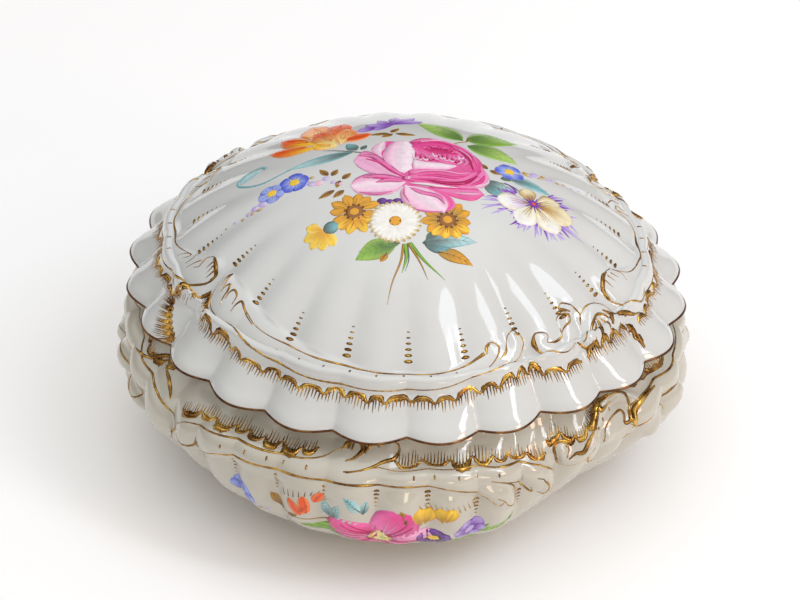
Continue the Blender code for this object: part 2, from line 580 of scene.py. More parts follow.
# ---------------------------------------------------------------- gilding
class Film:
    """Collects thin closed strokes of a fired film, to make one piece of them."""

    def __init__(self):
        self.points, self.faces, self.colours, self.size = [], [], [], 0

    def add(self, points, faces, colours=None):
        self.points.append(points)
        self.faces += (np.asarray(faces) + self.size).tolist()
        if colours is not None:
            self.colours.append(colours)
        self.size += len(points)

    def build(self, name, material):
        colours = np.vstack(self.colours) if self.colours else None
        return mesh_object(name, np.vstack(self.points), self.faces, (material,), colours)


def stroke_faces(count):
    """Faces of a tube with four sides and a flat end at both ends."""
    faces = [(0, 3, 2, 1)]
    for i in range(count - 1):
        for k in range(4):
            a, b = 4 * i + k, 4 * i + (k + 1) % 4
            faces.append((a, b, b + 4, a + 4))
    last = 4 * (count - 1)
    faces.append((last, last + 1, last + 2, last + 3))
    return faces


def lay_stroke(film, shell, path, widths, thickness=0.10, colour=None):
    """A brush stroke along the path: flat underneath, slightly crowned, as wide as widths says."""
    points, normals = shell.drape(path[:, 0], path[:, 1])
    along = np.gradient(points, axis=0)
    along /= np.maximum(np.linalg.norm(along, axis=1, keepdims=True), 1e-9)
    side = np.cross(normals, along) * (np.maximum(widths, 0.02) / 2)[:, None]
    rings = np.stack(
        (points + side, points + normals * thickness, points - side, points - normals * 0.12), 1
    )
    if colour is not None:
        colour = np.repeat(colour, 4, axis=0)
    film.add(rings.reshape(-1, 3), stroke_faces(len(path)), colour)


TAPERS = {
    "both": lambda t: np.sin(np.pi * np.clip(t, 0.02, 0.98)) ** 0.6,
    "start": lambda t: np.clip(t, 0.05, 1) ** 0.7,
    "end": lambda t: np.clip(1 - t, 0.05, 1) ** 0.7,
    "swell": lambda t: 0.35 + 0.65 * np.sin(np.pi * np.clip(t, 0, 1)) ** 2,
}


def gild(film, shell, points, width, taper="both", steps=None, wear=0.0):
    """A gold stroke through design points, on both halves of the box. wear thins it unevenly."""
    steps = steps or 10 * len(points)
    for turn in HALF_TURNS:
        path = curve(turned(points, turn), steps)
        t = np.linspace(0, 1, steps)
        widths = width * TAPERS[taper](t)
        if wear:
            worn = np.interp(t, np.linspace(0, 1, steps // 4), RNG.random(steps // 4))
            widths *= 1 - wear + wear * worn * 1.6
        lay_stroke(film, shell, path, widths)


def oval(film, shell, angle, key, across, along, key_scale):
    """A small oval of gold, across and along in millimetres, lying across the direction of the key."""
    turn = np.linspace(0, 2 * np.pi, 9)[:-1]
    centre, _ = shell.drape(angle, key)
    radius = math.hypot(centre[0], centre[1])
    degrees = np.degrees(across / 2 * np.cos(turn) / radius)
    rim, rim_normals = shell.drape(angle + degrees, key + along / 2 * np.sin(turn) / key_scale)
    top, normal = shell.drape(angle, key)
    points = np.vstack((rim + rim_normals * 0.03, [top + normal * 0.13], [top - normal * 0.15]))
    faces = [(i, (i + 1) % 8, 8) for i in range(8)] + [((i + 1) % 8, i, 9) for i in range(8)]
    film.add(points, faces)


LID_KEY_SCALE = LID_HALF_LENGTH * 1.3  # millimetres of surface in one share, near the band
DROP_SCALE = 1.0


def feather(film, shell, edge, pitch, reach, key_scale, seed):
    """The lacy edge: a wavy gold line along the edge, with fine strokes drawn out from its waves.

    reach is the strokes' length in millimetres; its sign says which way the key runs.
    """
    rng = np.random.default_rng(seed)
    line = curve(edge, 40 * len(edge))
    points, _ = shell.drape(line[:, 0], line[:, 1])
    run = np.concatenate(([0], np.cumsum(np.linalg.norm(np.diff(points, axis=0), axis=1))))
    count = max(2, int(round(run[-1] / pitch)))
    ends = np.concatenate(([0], np.cumsum(rng.uniform(0.7, 1.3, count))))
    at = np.linspace(0, run[-1], count * 14 + 1)
    wave = np.interp(at, ends / ends[-1] * run[-1], np.arange(count + 1)) * 2 * np.pi
    lean = wave + 0.6 * np.sin(wave)
    crest = rng.uniform(0.7, 1.2, count + 1)[np.minimum(wave / 2 / np.pi, count).astype(int)]
    depth = (0.5 - 0.5 * np.cos(lean)) * crest
    angle = np.interp(at, run, line[:, 0])
    key = np.interp(at, run, line[:, 1]) + (1 - depth) * abs(reach) * 0.42 * np.sign(reach) / key_scale
    widths = 0.75 + 2.3 * depth**1.7 * (0.5 + rng.random(len(at)) * 0.5)
    hatches = np.arange(0.2, run[-1] - 0.2, 0.92)
    hatches = hatches + rng.uniform(-0.14, 0.14, len(hatches))
    for turn in HALF_TURNS:
        lay_stroke(film, shell, np.stack((angle + turn, key), 1), widths)
        for place in hatches:
            start_angle = np.interp(place, at, angle) + turn
            start_key = np.interp(place, at, key)
            bump = np.interp(place, at, depth)
            length = abs(reach) * (
                0.18 + 0.55 * bump + 0.40 * rng.random()
            ) * np.sign(reach) / key_scale
            slant = rng.uniform(-0.25, 0.05)
            path = np.stack(
                (
                    start_angle + slant * np.linspace(0, 1, 5),
                    start_key + length * np.linspace(0, 1, 5)
                ), 1
            )
            lay_stroke(film, shell, path, 0.55 * TAPERS["end"](np.linspace(0, 1, 5)) + 0.03, 0.09)


def gild_lid(gold):
    film = Film()
    # The band's two lines
    inner_front = [
        (239.5, 0.784), (246, 0.806), (257, 0.818), (270, 0.828), (285, 0.835), (296, 0.830),
        (302, 0.812), (304, 0.803)
    ]
    outer_front = [
        (226.6, 0.795), (228.5, 0.828), (235, 0.848), (250, 0.869), (266, 0.876), (285, 0.876),
        (298, 0.870), (312, 0.850)
    ]
    gild(film, LID, inner_front, 0.62, "swell", wear=0.4)
    gild(film, LID, outer_front, 0.72, "swell", wear=0.3)
    gild(film, LID, [(292, 0.834), (299, 0.824), (302.5, 0.808), (304.5, 0.798)], 1.1, "start")
    inner_side = [
        (176, 0.760), (180.5, 0.812), (187.5, 0.830), (191, 0.838), (197.5, 0.832), (201.5, 0.827),
        (205.5, 0.812), (208.5, 0.797)
    ]
    outer_side = [
        (176, 0.755), (172, 0.747), (168, 0.765), (167, 0.81), (171.5, 0.862), (180, 0.882),
        (196, 0.879), (209, 0.873), (216, 0.857), (221.5, 0.814), (223, 0.775), (221.5, 0.744),
        (218, 0.733), (216, 0.752), (216.5, 0.770)
    ]
    gild(film, LID, inner_side, 0.65, "swell", steps=110)
    gild(film, LID, outer_side, 0.80, "swell", steps=220)
    # Thick turns and hatching at the curled ends
    gild(film, LID, [(222.5, 0.79), (222.8, 0.768), (220.8, 0.745), (218, 0.736)], 1.3)
    gild(film, LID, [(167.3, 0.815), (167.6, 0.775), (170.5, 0.750), (173, 0.750)], 1.4)
    for hatch in (
        [(208.5, 0.797), (207.5, 0.812), (207, 0.830)],
        [(208.8, 0.796), (210, 0.798), (209, 0.822)],
        [(211, 0.777), (212, 0.790), (212, 0.817)],
        [(215.5, 0.767), (214.5, 0.789), (213.5, 0.819)],
        [(219.3, 0.744), (219.3, 0.772)],
        [(220.5, 0.748), (220.5, 0.780)],
        [(221.7, 0.760), (221.3, 0.792)],
        [(216, 0.757), (216.8, 0.784), (215.5, 0.800)],
        [(176.5, 0.764), (177.5, 0.790), (176.5, 0.812)],
        [(170, 0.757), (170.3, 0.790)],
        [(172, 0.756), (172.6, 0.784)],
        [(174, 0.760), (174.8, 0.786)],
    ):
        gild(film, LID, hatch, 0.55, "end")
    # Leaf at the creased corner
    for lobe in (
        [(228.3, 0.772), (227.4, 0.750), (227.2, 0.728), (228.2, 0.745), (229.2, 0.772)],
        [
            (229.4, 0.784), (229.6, 0.762), (230.3, 0.752), (231.2, 0.770), (231.6, 0.797),
            (232.6, 0.812)
        ],
        [(232.3, 0.790), (232.0, 0.768), (232.8, 0.755), (234.6, 0.764), (235.2, 0.790)],
        [(236.2, 0.808), (236.2, 0.786), (237.0, 0.769), (239.0, 0.782), (241.0, 0.795), (244, 0.806)],
    ):
        gild(film, LID, lobe, 0.75, "swell")
    # Hooks and rocaille at the scrolled corner
    for points, width in (
        (
            [
                (305.0, 0.802), (305.3, 0.780), (307, 0.772), (308.6, 0.786), (308, 0.806),
                (306, 0.828), (303.5, 0.845)
            ],
            0.55
        ),
        ([(305.2, 0.800), (305.4, 0.782), (306.6, 0.776)], 1.2),
        (
            [
                (311, 0.790), (312.3, 0.766), (314.5, 0.759), (316.2, 0.780), (315.6, 0.810),
                (313, 0.836), (308, 0.857), (300, 0.867)
            ],
            0.60
        ),
        ([(311, 0.789), (310, 0.809), (308, 0.822)], 0.8),
        (
            [
                (322, 0.817), (322.8, 0.795), (320, 0.784), (318.2, 0.807), (318.6, 0.832),
                (321, 0.855), (325, 0.868), (329, 0.862)
            ],
            0.75
        ),
        ([(319.2, 0.790), (318.3, 0.812), (318.8, 0.835)], 1.5),
        ([(322, 0.817), (324, 0.823), (326.5, 0.817), (327.6, 0.795)], 0.8),
        (
            [
                (326.5, 0.815), (328.5, 0.799), (331, 0.790), (331.6, 0.772), (329.5, 0.762),
                (327.8, 0.772)
            ],
            0.8
        ),
        ([(330.6, 0.742), (332.5, 0.734), (334.3, 0.752), (335, 0.785), (333.5, 0.812)], 0.6),
        ([(331, 0.737), (331.2, 0.752), (332.6, 0.766)], 1.2),
        (
            [
                (333.5, 0.812), (334.8, 0.790), (337.8, 0.776), (341, 0.783), (343.3, 0.806),
                (344.5, 0.835)
            ],
            0.5
        ),
        (
            [
                (331, 0.868), (333.5, 0.850), (336.0, 0.826), (339.2, 0.812), (341.3, 0.828),
                (341.5, 0.850)
            ],
            1.0
        ),
        ([(338.3, 0.812), (338.3, 0.838), (336.8, 0.866), (335.6, 0.884)], 1.3),
        ([(341.5, 0.812), (343.5, 0.842), (345.5, 0.868)], 1.5),
        ([(339.4, 0.822), (340.4, 0.850), (339.4, 0.880)], 0.9),
        ([(344.5, 0.832), (346.0, 0.862), (349.0, 0.874), (352.5, 0.885)], 1.6),
        ([(329.5, 0.866), (331.5, 0.876), (334.5, 0.868)], 1.4),
        ([(335.0, 0.858), (336.6, 0.842), (337.4, 0.824)], 1.6),
        ([(341.0, 0.866), (343.0, 0.852), (345.4, 0.858), (347.6, 0.874)], 2.2),
        ([(346.5, 0.884), (347.4, 0.905), (346.6, 0.928), (347.6, 0.948)], 1.6),
    ):
        gild(film, LID, points, width, "swell")
    # Small diamonds along the band
    for angle, key in (
        [(a, 0.842 + 0.013 * math.sin(math.radians((a - 235) * 2.2))) for a in np.arange(247, 300, 6.2)]
        + [(a, 0.857) for a in (186, 192, 198, 203)]
    ):
        for turn in HALF_TURNS:
            oval(film, LID, angle + turn, key, 0.6, 1.0, LID_KEY_SCALE)
    # Rows of ovals in the valleys of the dome
    for valley in np.arange(0, 360, 15):
        scrolled = abs((valley - 315) % 180) < 16 or abs((valley - 135) % 180) < 16
        front = 225 <= valley % 180 + 180 <= 315
        start = {45: 0.703, 60: 0.750}.get(valley % 180, 0.800 if front and not scrolled else 0.772)
        for k in range(6):
            size = 1 - 0.13 * k
            oval(
                film, LID, valley + 0.3 * math.sin(valley), start - 0.0170 * k, 2.3 * size,
                1.15 * size, LID_KEY_SCALE
            )
    # Lacy edges along the band, and down the creased corner to the rim
    for points, pitch, reach, seed in (
        (
            [
                (229.5, 0.862), (236, 0.868), (250, 0.884), (266, 0.889), (285, 0.889),
                (299, 0.884), (311, 0.866)
            ],
            6.2, 3.6, 1
        ),
        ([(170, 0.888), (180, 0.894), (196, 0.892), (209, 0.888), (216, 0.885)], 5.0, 3.0, 2),
        ([(311, 0.868), (316, 0.872), (321, 0.884), (329, 0.884)], 5.0, 4.0, 3),
        ([(216.0, 0.878), (218.5, 0.862), (220, 0.848), (223.5, 0.845)], 4.6, 3.6, 8),
        ([(225, 0.815), (227.2, 0.836), (229.5, 0.852)], 4.6, 3.6, 9),
    ):
        feather(film, LID, points, pitch, reach, LID_KEY_SCALE, seed)
    for points, width in (
        ([(216.8, 0.874), (218.3, 0.858), (219.6, 0.846), (222.5, 0.842)], 2.0),
        ([(222.0, 0.846), (223.8, 0.842), (224.6, 0.826), (225, 0.808)], 1.5),
        ([(225, 0.812), (227.2, 0.832), (229.2, 0.850)], 1.5),
    ):
        gild(film, LID, points, width)
    for points, pitch, reach, seed in (
        ([(331, 0.880), (336, 0.868), (341, 0.876), (346, 0.880)], 4.6, 4.2, 10),
        ([(346.5, 0.886), (347.5, 0.92), (346.8, 0.955)], 4.6, 2.6, 11),
    ):
        feather(film, LID, points, pitch, reach, LID_KEY_SCALE, seed)
    for k in range(7):
        key = 0.893 + 0.0148 * k
        at = 216.4 + 1.15 * k
        gild(
            film, LID,
            [(at, key), (at + 1.7, key + 0.003), (at + 1.8, key + 0.010), (at + 1.0, key + 0.0150)],
            1.3
        )
        for j in range(6):
            length = 2.4 + 1.6 * RNG.random()
            y = key + 0.002 + 0.0025 * j
            gild(film, LID, [(at + 1.3, y), (at + 1.3 - length, y + 0.012)], 0.42, "end", steps=5)
    return film.build("lid_gilding", gold)


def gild_rim(gold):
    """The line of gold over the lid's scalloped edge, in the darker gold that is painted dark
    reflection.
    """
    film = Film()
    upper, normals = LID.drape(ANGLES, np.full(COLUMNS, 1.0005))
    edge = lid_ring(1.0062, RIM_HEIGHT + 0.92, 3.6)
    lower = lid_ring(1.003, RIM_HEIGHT + 0.72, 3.55)
    inside = lid_ring(0.994, RIM_HEIGHT + 1.1, 3.4)
    rings = np.stack((upper + normals * 0.05, edge, lower, inside), 1).reshape(-1, 3)
    count = len(rings)
    faces = []
    for i in range(0, count, 4):
        for k in range(4):
            a, b = i + k, i + (k + 1) % 4
            faces.append((a, b, (b + 4) % count, (a + 4) % count))
    film.add(rings, faces)
    return film.build("lid_rim_line", gold)


def gild_base(gold):
    film = Film()
    gild(
        film, BASE,
        [
            (234, 18.5), (236.5, 16.0), (240.5, 14.6), (248.5, 12.8), (254, 12.3), (260, 12.0),
            (267.5, 10.7), (271, 8.6), (274, 5.5)
        ],
        0.75, "swell"
    )
    gild(
        film, BASE,
        [
            (240, 18.2), (239.5, 21.4), (242, 21.1), (246, 18.4), (250, 16.7), (256, 15.7),
            (264, 15.1), (278, 14.7), (286, 14.8), (292, 15.9), (297, 18.0), (302, 21.4),
            (304, 23.9), (305, 22.8), (304, 21.7)
        ],
        0.75, "swell", steps=220, wear=0.3
    )
    gild(film, BASE, [(234.5, 20.8), (236, 22.8), (238.5, 21.4), (240, 18.0)], 0.9)
    gild(
        film, BASE,
        [
            (274, 12.4), (279, 11.3), (287.5, 11.3), (299, 12.1), (305, 13.7), (310, 15.0),
            (314, 17.5), (316.5, 19.4), (318.3, 22.0), (318, 25.0), (317, 28.1)
        ],
        0.75, "swell", steps=150, wear=0.3
    )
    for points, width in (
        ([(313.5, 20.8), (315.5, 22.6), (316.2, 25.2), (315.3, 27.4), (314, 26.3)], 0.81),
        ([(303, 16.9), (307.5, 19.4), (310, 21.7), (312, 24.8), (313, 25.8), (312.5, 23.9)], 0.74),
        (
            [
                (303, 16.9), (306, 18.6), (308, 21.0), (308.4, 23.5), (307.3, 25.4), (306, 24.8),
                (305, 22.6)
            ],
            0.81
        ),
        # Leaves that rise from the band to the lid
        ([(272, 8.2), (273, 6.4), (273.4, 7.8)], 2.0),
        ([(274, 8.0), (274.3, 5.4), (275.3, 5.0), (276.2, 7.4), (275, 9.4), (273.4, 10.3)], 1.6),
        ([(276.6, 8.4), (277.4, 6.2), (278.6, 4.6), (279.6, 5.4), (279, 7.2)], 1.8),
        ([(280.5, 5.6), (281.6, 4.2)], 1.5),
        (
            [
                (282.3, 4.4), (283.3, 5.2), (283.6, 7.0), (282.9, 8.8), (281.4, 9.8), (279.5, 10.8),
                (276.5, 11.7), (273.5, 12.3)
            ],
            1.2
        ),
        # Corner spiral and big scroll
        (
            [
                (321.6, 18.0), (322.2, 15.4), (320.8, 13.2), (319.3, 14.4), (319, 17.4),
                (319.8, 20.2), (322, 21.4), (325, 19.8), (328, 18.0)
            ],
            1.0
        ),
        ([(319, 17.8), (319, 15.2), (320.5, 13.5), (322, 13.8), (322, 15.4)], 2.3),
        ([(322, 18.4), (323.3, 17.4), (324.8, 17.1), (327, 14.5), (329.8, 11.6)], 1.3),
        (
            [
                (330.8, 17.5), (332, 14.2), (334.3, 11.9), (336.8, 11.5), (337.6, 13.2),
                (336.7, 15.2), (337.6, 15.8), (339.3, 13.8), (340.2, 11.5), (339, 8.5),
                (335.5, 6.0), (331.5, 7.5), (329.8, 11.6)
            ],
            1.1
        ),
        ([(328, 18.5), (326.5, 20.4), (326.8, 22.9), (328, 22.4)], 0.81),
        ([(335.8, 20.6), (338.4, 20.2)], 1.1),
        ([(348, 12.6), (345, 12.2), (341.5, 13.2), (339.5, 15.2), (339, 17.7), (340.5, 19.4)], 2.0),
        ([(341, 19.5), (344.5, 19.1), (348, 18.3), (351, 17.3)], 0.7),
        ([(354.5, 17.3), (351.5, 17.1), (349.5, 18.3), (349.5, 19.7)], 1.5),
        ([(334.5, 5.5), (331.5, 6.6), (332, 9.2), (334.5, 7.7)], 2.0),
        ([(330, 8.3), (330.5, 9.6), (329, 11.4), (328, 11.2)], 2.0),
        # Side lobe: long leaves
        (
            [
                (197, 11.8), (206, 10.5), (215, 13.6), (220, 14.8), (225.5, 17.0), (230, 20.0),
                (231.2, 24.0), (229, 27.8), (225.5, 28.6)
            ],
            0.81
        ),
        (
            [
                (198, 17.0), (206, 17.0), (211, 20.2), (214, 24.0), (215.2, 26.2), (217.6, 23.8),
                (215, 20.6)
            ],
            0.81
        ),
        ([(220.5, 22.8), (220.3, 27.0), (222, 31.6), (226, 30.5), (229, 27.2)], 0.8),
        ([(196, 21.5), (204, 20.6), (211, 22.6), (215.2, 26.4)], 0.61),
        (
            [
                (158, 18.0), (158.8, 13.8), (163, 11.8), (170, 11.8), (178, 13.4), (186, 11.6),
                (197, 11.8)
            ],
            0.81
        ),
        ([(174.5, 17.4), (169, 18.0), (163.5, 18.8), (159.5, 18.6), (157.6, 16.6)], 0.94),
        (
            [
                (170.5, 21.6), (168.6, 18.2), (172, 16.8), (176, 17.8), (184, 16.4), (191, 17.2),
                (198, 17.0)
            ],
            0.68
        ),
        ([(159, 18.4), (158.2, 15.4), (160, 13.0)], 1.5),
    ):
        gild(film, BASE, points, width, "swell")
    # Gold patches under the lid at the side lobe
    for points, width in (
        ([(212, 14.0), (215.5, 12.8), (218, 10.4), (220.5, 8.6), (223, 8.4)], 1.5),
        ([(221.5, 10.4), (225, 11.6), (227.5, 13.6), (228.5, 16.0)], 1.4),
        ([(165, 5.2), (167, 8.2), (171, 9.8), (176, 10.6), (183, 9.8)], 1.5),
    ):
        gild(film, BASE, points, width, "both")
    # Dots hanging in the valleys of the belly, and small diamonds on the bands
    drops = {
        230: 26.5, 240: 24.0, 250: 18.3, 260: 17.0, 270: 16.6, 280: 16.6, 290: 17.4, 300: 22.2,
        310: 24.5
    }
    for angle, top in drops.items():
        for k in range(5):
            size = 1 - 0.15 * k
            for turn in HALF_TURNS:
                oval(film, BASE, angle + turn, top + 1.25 * k, 1.9 * size, 0.85 * size, DROP_SCALE)
    for angle, drop in (
        (247, 15.6), (253, 14.1), (257.5, 13.6), (261.5, 13.3), (266, 12.8), (287, 12.9),
        (291.5, 13.2), (296, 14.0), (300, 14.6), (304.5, 15.7), (330.5, 13.8), (332, 11.6),
        (334.2, 9.6)
    ):
        for turn in HALF_TURNS:
            oval(film, BASE, angle + turn, drop, 0.55, 1.1, DROP_SCALE)
    for points, pitch, reach, seed in (
        ([(233.5, 15.5), (238, 13.3), (245, 11.7), (254, 10.9), (262, 10.9), (267, 9.8)], 5.6, -3.4, 4),
        ([(283, 11.0), (292, 11.0), (299, 11.6), (306, 12.8), (312, 14.9), (317, 17.0)], 6.6, -4.0, 5),
        ([(317.5, 13.8), (321, 12.6), (325, 14.6), (329, 11.2), (333, 5.6)], 5.5, -4.0, 6),
        (
            [
                (337, 5.0), (345, 8.0), (355, 10.6), (366, 9.0), (378, 9.6), (388, 9.6),
                (396, 12.0), (406, 8.6)
            ],
            5.0, -3.0, 7
        ),
    ):
        feather(film, BASE, points, pitch, reach, DROP_SCALE, seed)
    return film.build("base_gilding", gold)


# ---------------------------------------------------------------- enamel painting
# Colours are linear RGB.
ROSE_DEEP = (0.50, 0.005, 0.12)
ROSE = (0.80, 0.06, 0.30)
ROSE_MID = (0.82, 0.19, 0.46)
ROSE_PALE = (0.86, 0.42, 0.64)
ROSE_WHITE = (0.88, 0.72, 0.81)
ORANGE = (0.80, 0.09, 0.01)
ORANGE_PALE = (0.92, 0.36, 0.12)
YELLOW = (0.92, 0.60, 0.04)
YELLOW_PALE = (0.92, 0.80, 0.30)
AMBER = (0.78, 0.36, 0.01)
OCHRE = (0.46, 0.25, 0.03)
RUSSET = (0.30, 0.11, 0.015)
BROWN = (0.14, 0.05, 0.01)
GREEN = (0.25, 0.48, 0.05)
GREEN_PALE = (0.44, 0.64, 0.16)
GREEN_DARK = (0.09, 0.20, 0.04)
TEAL = (0.20, 0.50, 0.55)
TEAL_PALE = (0.46, 0.68, 0.70)
SLATE = (0.10, 0.15, 0.14)
BLUE = (0.07, 0.11, 0.66)
BLUE_PALE = (0.36, 0.44, 0.86)
VIOLET = (0.20, 0.04, 0.44)
LILAC = (0.50, 0.38, 0.78)
PLUM = (0.05, 0.01, 0.09)
IVORY = (0.82, 0.74, 0.50)
CHALK = (0.90, 0.89, 0.84)
BOUQUET_TURN = 15.0  # degrees that the bouquet is turned on the dome
PETAL_ROWS, PETAL_COLUMNS = 11, 7

PETAL_SHAPES = {
    "petal": lambda u: np.sin(np.pi * u**1.5) ** 0.75,
    "round": lambda u: np.sqrt(np.clip(1 - (2 * u - 1) ** 2, 0, 1)),
    "leaf": lambda u: np.sin(np.pi * u**0.8) ** 0.9,
    "stroke": lambda u: np.sin(np.pi * u**0.7) ** 0.6,
    "drop": lambda u: np.sin(np.pi * u**2.2) ** 0.7,
}


def lid_place(spots):
    """Points and normals on the dome of spots given in the bouquet's own frame."""
    turn = math.radians(BOUQUET_TURN)
    x = spots[..., 0] * math.cos(turn) - spots[..., 1] * math.sin(turn)
    y = spots[..., 0] * math.sin(turn) + spots[..., 1] * math.cos(turn)
    angle = np.degrees(np.arctan2(y / LID_HALF_WIDTH, x / LID_HALF_LENGTH))
    share = np.hypot(x / LID_HALF_LENGTH, y / LID_HALF_WIDTH)
    return LID.drape(angle, np.clip(share, LID.keys[0], 1))


def belly_place(middle, drop):
    """Places round a middle on the belly: x runs round the box and y runs up, in millimetres."""

    def place(spots):
        degrees = np.degrees(spots[..., 0] / ((BELLY_HALF_LENGTH + BELLY_HALF_WIDTH) / 2 - 2.5))
        return BASE.drape(middle + degrees, drop - spots[..., 1])

    return place


def petal(film, place, start, end, width, colours, layer=0.0, bend=0.0, shape="petal", streak=0.12):
    """One brush-laid petal or leaf from start to end.

    colours are those of the start, the end and the edge. bend bows the middle line sideways, and
    streak is how strongly the brush marks show.
    """
    start, end = np.array(start, float), np.array(end, float)
    u = np.linspace(0, 1, PETAL_ROWS)
    v = np.linspace(-1, 1, PETAL_COLUMNS)
    along = end - start
    side = np.array((-along[1], along[0])) / max(np.linalg.norm(along), 1e-9)
    middle = start + along * u[:, None] + side * (bend * 4 * u * (1 - u))[:, None]
    half = width / 2 * PETAL_SHAPES[shape](np.clip(u, 0.004, 0.996))
    spots = middle[:, None] + side * (half[:, None] * v)[..., None]
    crown = 0.03 + 0.028 * layer + 0.05 * (1 - v**2)[None, :] * np.minimum(1, half / 1.5)[:, None]
    first, last, rim = (np.array(c) for c in colours)
    paint = first + (last - first) * smoothstep(0.1, 0.85, u)[:, None, None]
    edge = (np.abs(v) ** 2.5)[None, :, None] * 0.8
    paint = paint + (rim - paint) * edge
    marks = RNG.uniform(-1, 1, PETAL_COLUMNS)[None, :] * np.sin(np.pi * u)[:, None]
    paint = np.clip(paint * (1 + streak * marks[..., None]), 0, 1)
    lay_patch(film, place, spots, paint, crown)


def wash(film, place, first, second, colours, layer, streak=0.12):
    """A petal painted between two edges that run from its root to its tip.

    colours are those along the first edge, down the middle and along the second edge.
    """
    rows, columns = 16, 9
    u = np.linspace(0, 1, rows)
    v = np.linspace(0, 1, columns)
    one, two = curve(first, rows), curve(second, rows)
    spots = one[:, None] * (1 - v)[None, :, None] + two[:, None] * v[None, :, None]
    paint = np.stack([np.interp(v, (0, 0.5, 1), [c[k] for c in colours]) for k in range(3)], -1)
    marks = RNG.uniform(-1, 1, columns)[None, :] * np.sin(np.pi * u)[:, None] ** 0.5
    paint = np.clip(paint[None] * (1 + streak * marks[..., None]), 0, 1)
    lay_patch(film, place, spots, paint, 0.04 + 0.028 * layer + 0.05 * np.sin(np.pi * v)[None, :])


def lay_patch(film, place, spots, paint, crown):
    """A closed thin film of enamel over a grid of spots, with its painted colours."""
    rows, columns = spots.shape[:2]
    points, normals = place(spots)
    top = points + normals * np.broadcast_to(crown, (rows, columns))[..., None]
    under = points - normals * 0.15
    colour = np.concatenate((paint, np.ones((rows, columns, 1))), -1).reshape(-1, 4)
    size = rows * columns
    faces = []
    for i in range(rows - 1):
        for j in range(columns - 1):
            a = i * columns + j
            b = a + columns
            faces.append((a, b, b + 1, a + 1))
            faces.append((a + size, a + 1 + size, b + 1 + size, b + size))
    border = (
        [i * columns for i in range(rows)]
        + [(rows - 1) * columns + j for j in range(1, columns)]
        + [i * columns + columns - 1 for i in range(rows - 2, -1, -1)]
        + list(range(columns - 2, 0, -1))
    )
    for a, b in zip(border, border[1:] + border[:1]):
        faces.append((b, a, a + size, b + size))
    film.add(np.vstack((top.reshape(-1, 3), under.reshape(-1, 3))), faces, np.vstack((colour, colour)))


def brush_line(film, place, points, width, colour, layer=1.0, taper="both", steps=18):
    """A fine painted line through design points."""
    path = curve(points, steps)
    spots, normals = place(path)
    run = np.gradient(spots, axis=0)
    run /= np.maximum(np.linalg.norm(run, axis=1, keepdims=True), 1e-9)
    half = np.maximum(width * TAPERS[taper](np.linspace(0, 1, steps)), 0.04) / 2
    side = np.cross(normals, run) * half[:, None]
    lift = normals * (0.03 + 0.028 * layer)
    rings = np.stack(
        (spots + side + lift, spots + lift * 1.6, spots - side + lift, spots - normals * 0.12), 1
    )
    film.add(rings.reshape(-1, 3), stroke_faces(steps), np.tile((*colour, 1.0), (4 * steps, 1)))


def around(centre, radius, degrees):
    return (
        centre[0] + radius * math.cos(math.radians(degrees)),
        centre[1] + radius * math.sin(math.radians(degrees)),
    )


def dot(film, place, centre, size, colour, layer=3.0):
    petal(
        film, place, (centre[0], centre[1] - size / 2), (centre[0], centre[1] + size / 2), size,
        (colour,) * 3, layer, shape="round", streak=0.05
    )


def bloom(
    film, place, centre, radius, count, colours, heart, layer=1.0, turn=0.0, width=0.62,
    spread=(0, 360)
):
    """A round open flower: petals about a heart, each a little different."""
    for k in range(count):
        degrees = turn + spread[0] + (spread[1] - spread[0]) * (k + 0.5) / count + RNG.uniform(-4, 4)
        reach = radius * RNG.uniform(0.9, 1.06)
        petal(
            film, place, around(centre, radius * 0.18, degrees), around(centre, reach, degrees),
            radius * width, colours, layer + 0.08 * k, shape="petal", streak=0.2
        )
        brush_line(
            film, place,
            [around(centre, radius * 0.3, degrees + 5), around(centre, reach * 0.72, degrees + 3)],
            0.28, tuple(0.6 * np.array(colours[0])), layer + 1.2
        )
    dot(film, place, centre, radius * 0.62, heart[0], layer + 2)
    dot(film, place, centre, radius * 0.3, heart[1], layer + 2.6)


def stamens(film, place, centre, radius, count, colour, layer):
    for k in range(count):
        dot(film, place, around(centre, radius, 360 * k / count), 0.75, colour, layer)


def leaf(
    film, place, start, end, width, colours=(GREEN, GREEN_PALE, GREEN), vein=GREEN_DARK, layer=0.0,
    bend=0.0
):
    """A leaf with its midrib and side veins."""
    petal(film, place, start, end, width, colours, layer, bend, "leaf", 0.18)
    start, end = np.array(start, float), np.array(end, float)
    along = end - start
    side = np.array((-along[1], along[0])) / np.linalg.norm(along)
    bow = [start + along * t + side * bend * 4 * t * (1 - t) for t in (0.02, 0.35, 0.65, 0.93)]
    brush_line(film, place, bow, 0.38, vein, layer + 1, "end")
    for t in (0.25, 0.42, 0.58, 0.74):
        root = start + along * t + side * bend * 4 * t * (1 - t)
        for way in (-1, 1):
            out = root + along * 0.13 + side * way * width * 0.30 * math.sin(math.pi * t)
            brush_line(film, place, [root, out], 0.2, vein, layer + 1, "end", 5)


def buds(film, place, points, sizes, colours):
    """A spray of small buds that shrink along a curve."""
    path = curve(points, len(sizes))
    for k, (spot, size) in enumerate(zip(path, sizes)):
        main = colours[k % len(colours)]
        offset = 0.3 * size * (-1) ** k
        petal(
            film, place, (spot[0] - size / 2, spot[1] + offset),
            (spot[0] + size / 2, spot[1] + offset * 0.4), size * 0.8,
            (main, tuple(0.4 * np.array(main) + 0.5), main), 1 + 0.1 * k, shape="round"
        )


